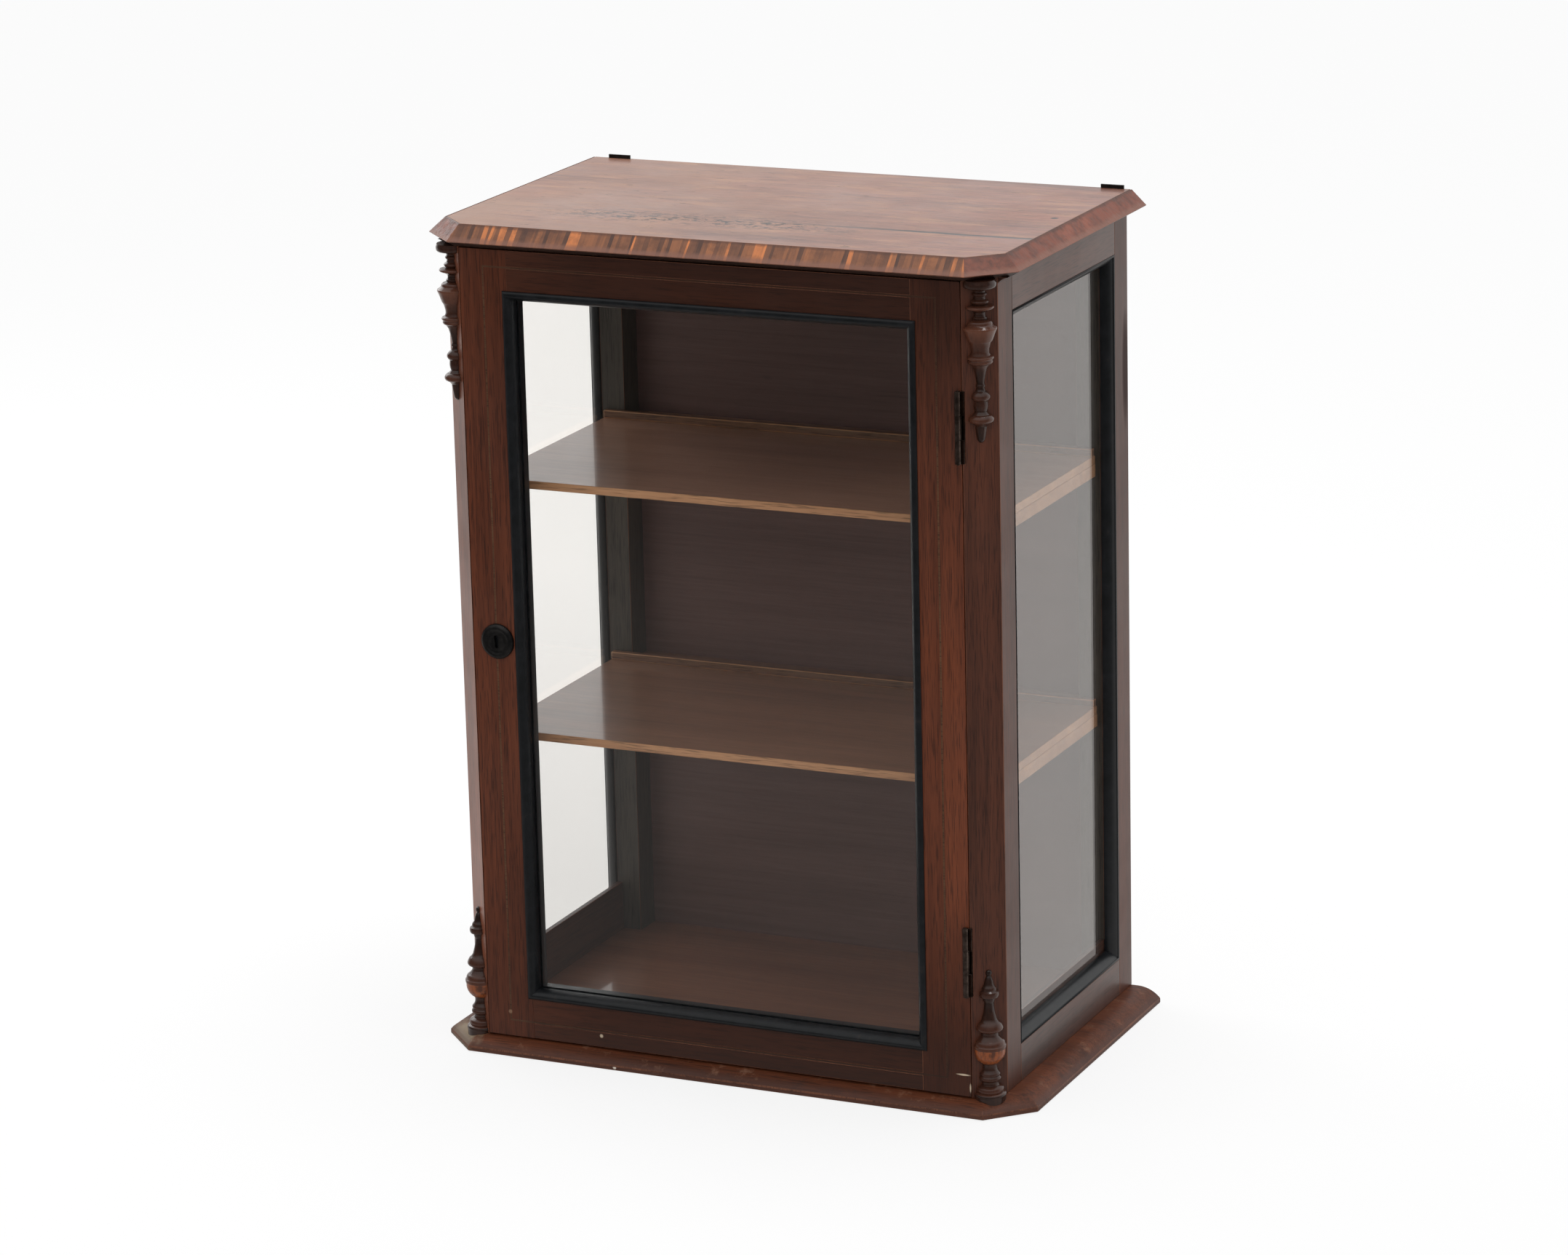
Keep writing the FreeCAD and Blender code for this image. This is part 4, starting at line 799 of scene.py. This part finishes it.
def escutcheon_piece(name, stands_for):
    """Rings of points from the outer edge over the rim to the keyhole, closed by a black floor as painted
    shade inside the keyhole.
    """
    low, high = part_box(stands_for)
    middle = Vector(((low.x + high.x) / 2, high.y, (low.z + high.z) / 2))
    rise = (high.y - low.y) / MM
    edge = (high.x - low.x) / 2 / MM
    face = rise - DISH_MM
    profile = [(edge, 0.0), (edge, 1.4), (edge - 0.6, 2.4), (edge - 2.0, 3.6), (edge - 3.4, rise),
               (edge - 4.8, rise - 0.3), (edge - 5.8, rise - 1.3), (edge - 7.4, rise - 1.5), (7.8, face),
               (7.2, face)]
    angles = [2 * math.pi * number / ESCUTCHEON_COUNT for number in range(ESCUTCHEON_COUNT)]
    outlines = [[(math.cos(angle) * spread, -out, math.sin(angle) * spread) for angle in angles]
                for spread, out in profile]
    hole = [keyhole_point(angle) for angle in angles]
    for out in (face, KEYHOLE_FLOOR_MM):
        outlines.append([(across, -out, up) for across, up in hole])
    bm = bmesh.new()
    rings = [[bm.verts.new(middle + Vector(point) * MM) for point in outline] for outline in outlines]
    for outer, within in zip(rings, rings[1:]):
        for number in range(ESCUTCHEON_COUNT):
            after = (number + 1) % ESCUTCHEON_COUNT
            bm.faces.new([outer[number], outer[after], within[after], within[number]])
    # Black floor at the back of the keyhole: painted shade.
    keyhole_shade = bm.faces.new(rings[-1])
    keyhole_shade.material_index = 1
    bmesh.ops.remove_doubles(bm, verts=bm.verts, dist=TOUCHING)
    bmesh.ops.recalc_face_normals(bm, faces=bm.faces)
    return finish_mesh(name, bm, [iron, black], stands_for, smooth=ESCUTCHEON_SMOOTH)


escutcheon_piece("escutcheon_ring", "escutcheon")


# Screws: round slotted heads on tapered shanks

SCREW_COUNT = 20
SLOT_HALF_MM = 0.3
SLOT_DEPTH_MM = 0.4
SLOT_SHARE = 0.9


def islands(name):
    """Boxes of the separate solids of a CAD node."""
    bm = welded(name)
    left = set(bm.verts)
    boxes = []
    while left:
        found = [left.pop()]
        for vert in found:
            for edge in vert.link_edges:
                other = edge.other_vert(vert)
                if other in left:
                    left.remove(other)
                    found.append(other)
        low = Vector([min(vert.co[axis] for vert in found) for axis in range(3)])
        high = Vector([max(vert.co[axis] for vert in found) for axis in range(3)])
        boxes.append((low, high))
    bm.free()
    return sorted(boxes, key=lambda box: tuple(box[0]))


def screw_rings(length, radius):
    """Rings of points from the head's face to the tip, along +Z."""
    profile = [(0.0, radius * 0.95), (radius * 0.06, radius), (radius * 0.12, radius),
               (radius * 0.55, radius * 0.5), (length * 0.8, radius * 0.42), (length, radius * 0.08)]
    angles = [2 * math.pi * (number + 0.5) / SCREW_COUNT for number in range(SCREW_COUNT)]
    return [[Vector((math.cos(angle) * spread, math.sin(angle) * spread, depth)) for angle in angles]
            for depth, spread in profile]


def slotted_screws(name, direction, material):
    """Screws driven along a direction, each in the box of one solid of the CAD node."""
    direction = Vector(direction)
    sideways_only = Vector([1 - abs(part) for part in direction])
    turn = direction.to_track_quat("Z", "Y").to_matrix()
    half = SCREW_COUNT // 2
    bm = bmesh.new()
    for low, high in islands(name):
        length = abs((high - low).dot(direction))
        radius = max((high - low) * sideways_only) / 2
        start = (low + high) / 2 - direction * length / 2
        rings = [[bm.verts.new(start + turn @ point) for point in ring]
                 for ring in screw_rings(length, radius)]
        for outer, within in zip(rings, rings[1:]):
            for number in range(SCREW_COUNT):
                after = (number + 1) % SCREW_COUNT
                bm.faces.new([outer[number], outer[after], within[after], within[number]])
        bm.faces.new(rings[-1])
        floors = []
        for side, sign in ((rings[0][:half], 1), (rings[0][half:], -1)):
            lips = []
            for reach in (sign, -sign):
                point = Vector((reach * radius * SLOT_SHARE, sign * SLOT_HALF_MM * MM, 0.0))
                lips.append(bm.verts.new(start + turn @ point))
            floor = [bm.verts.new(lip.co + direction * SLOT_DEPTH_MM * MM) for lip in lips]
            bm.faces.new(side + lips[::-1])
            bm.faces.new(lips + floor[::-1])
            floors.append((lips, floor))
        (first_lips, first_floor), (last_lips, last_floor) = floors
        bm.faces.new(first_floor + last_floor)
        rim = rings[0]
        bm.faces.new([rim[-1], rim[0], first_lips[0], first_floor[0], last_floor[1], last_lips[1]])
        bm.faces.new([rim[half - 1], rim[half], last_lips[0], last_floor[0], first_floor[1], first_lips[1]])
    bmesh.ops.recalc_face_normals(bm, faces=bm.faces)
    return finish_mesh(name + "_slotted", bm, [material], name)


slotted_screws("hinge_post_screws", (1, 0, 0), brass)
slotted_screws("hinge_door_screws", (-1, 0, 0), brass)
slotted_screws("strike_screws", (-1, 0, 0), steel)
slotted_screws("lock_screws", (0, -1, 0), steel)
slotted_screws("hanger_screws", (0, -1, 0), iron)


# Floor, light and camera

FLOOR_SIZE = 80.0
FLOOR_DROP = 0.0005
WARM_WHITE = (1.0, 0.965, 0.94, 1.0)
WHITE = (1.0, 1.0, 1.0, 1.0)
FLOOR_GREY = (0.8, 0.8, 0.8, 1.0)
FLOOR_GLOW = 0.82
CAMERA_AT = (1.972044, -4.312044, 1.698030)
CAMERA_YAW = 0.429968
CAMERA_PITCH = 0.270733
CAMERA_ROLL = -0.024043
LENS_MM = 124.2231
SENSOR_MM = 36.0
CAMERA_REACH = 100.0


def stage_floor():
    """White floor; in reflections it is dim in front of the cabinet and pale behind it."""
    bpy.ops.mesh.primitive_plane_add(size=FLOOR_SIZE, location=(0, 0, -FLOOR_DROP))
    floor = bpy.context.object
    floor.name = "studio_floor"
    material, tree = new_material("studio_floor")
    path = node(tree, "ShaderNodeLightPath").outputs
    axes = node(tree, "ShaderNodeSeparateXYZ", {0: here(tree)}).outputs
    in_front = ranged(tree, axes["Y"], -2.4, -1.1, 0.03, 0.24)
    far = ranged(tree, axes["Y"], 0.3, 1.4, 1.0, 1.2)
    rightward = ranged(tree, axes["X"], -0.1, 0.4, 0.0, 1.0)
    behind = node(tree, "ShaderNodeMix", {0: rightward, 2: far, 3: 0.86}).outputs[0]
    rearward = ranged(tree, axes["Y"], -0.30, 0.05, 0.0, 1.0)
    strength = node(tree, "ShaderNodeMix", {0: rearward, 2: in_front, 3: behind}).outputs[0]
    mirrored = node(tree, "ShaderNodeEmission", {"Color": WARM_WHITE, "Strength": strength})
    matt = node(tree, "ShaderNodeBsdfDiffuse", {"Color": FLOOR_GREY})
    white = node(tree, "ShaderNodeEmission", {"Color": WHITE, "Strength": 1.0})
    seen = node(tree, "ShaderNodeMixShader", {0: FLOOR_GLOW, 1: matt.outputs[0], 2: white.outputs[0]})
    sharp = maths(tree, "MAXIMUM", path["Is Glossy Ray"], path["Is Transmission Ray"])
    unseen = node(tree, "ShaderNodeMixShader", {0: sharp, 1: matt.outputs[0], 2: mirrored.outputs[0]})
    inputs = {0: path["Is Camera Ray"], 1: unseen.outputs[0], 2: seen.outputs[0]}
    surface(tree, node(tree, "ShaderNodeMixShader", inputs))
    floor.data.materials.append(material)


def studio_world():
    """White to the eye; in reflections dim towards the front and bright behind and above."""
    world = bpy.data.worlds.new("studio")
    bpy.context.scene.world = world
    world.use_nodes = True
    tree = world.node_tree
    tree.nodes.clear()
    path = node(tree, "ShaderNodeLightPath").outputs
    direction = node(tree, "ShaderNodeTexCoord").outputs["Generated"]
    axes = node(tree, "ShaderNodeSeparateXYZ", {0: direction}).outputs
    rearward = ranged(tree, axes["Y"], 0.0, 0.5, 0.06, 1.0)
    above = ranged(tree, axes["Z"], 0.3, 0.85, 0.0, 1.0)
    mirrored = maths(tree, "MAXIMUM", rearward, above)
    strength = node(tree, "ShaderNodeMix", {0: path["Is Glossy Ray"], 2: 1.0, 3: mirrored}).outputs[0]
    seen = maths(tree, "MAXIMUM", path["Is Camera Ray"], path["Is Transmission Ray"])
    strength = node(tree, "ShaderNodeMix", {0: seen, 2: strength, 3: 1.0}).outputs[0]
    sky = node(tree, "ShaderNodeBackground", {"Color": WHITE, "Strength": strength})
    node(tree, "ShaderNodeOutputWorld", {"Surface": sky.outputs[0]})


def softbox(name, location, target, size, power):
    """Rectangular lamp, turned towards a point."""
    lamp = bpy.data.lights.new(name, "AREA")
    lamp.shape = "RECTANGLE"
    lamp.size, lamp.size_y = size
    lamp.energy = power
    item = bpy.data.objects.new(name, lamp)
    item.location = location
    item.rotation_euler = (Vector(target) - Vector(location)).to_track_quat("-Z", "Y").to_euler()
    bpy.context.scene.collection.objects.link(item)


def photo_camera():
    """Long lens, above and to the right of the front, tipped very slightly."""
    data = bpy.data.cameras.new("photo_camera")
    data.sensor_fit = "HORIZONTAL"
    data.sensor_width = SENSOR_MM
    data.lens = LENS_MM
    data.clip_end = CAMERA_REACH
    right = Vector((math.cos(CAMERA_YAW), math.sin(CAMERA_YAW), 0.0))
    level_ahead = Vector((-right.y, right.x, 0.0))
    ahead = level_ahead * math.cos(CAMERA_PITCH) - Vector((0.0, 0.0, math.sin(CAMERA_PITCH)))
    above = right.cross(ahead)
    across = right * math.cos(CAMERA_ROLL) + above * math.sin(CAMERA_ROLL)
    upward = above * math.cos(CAMERA_ROLL) - right * math.sin(CAMERA_ROLL)
    turn = Matrix((across, upward, -ahead)).transposed()
    camera = bpy.data.objects.new("photo_camera", data)
    camera.matrix_world = Matrix.Translation(CAMERA_AT) @ turn.to_4x4()
    bpy.context.scene.collection.objects.link(camera)
    bpy.context.scene.camera = camera


stage_floor()
studio_world()
softbox("overhead", (0.2, 0.3, 2.9), (0.0, 0.0, 0.5), size=(1.2, 0.9), power=26)
softbox("left_rear", (-2.4, 1.0, 1.8), (0.0, 0.0, 0.4), size=(1.6, 1.6), power=18)
photo_camera()
bpy.context.scene.view_settings.view_transform = "Standard"
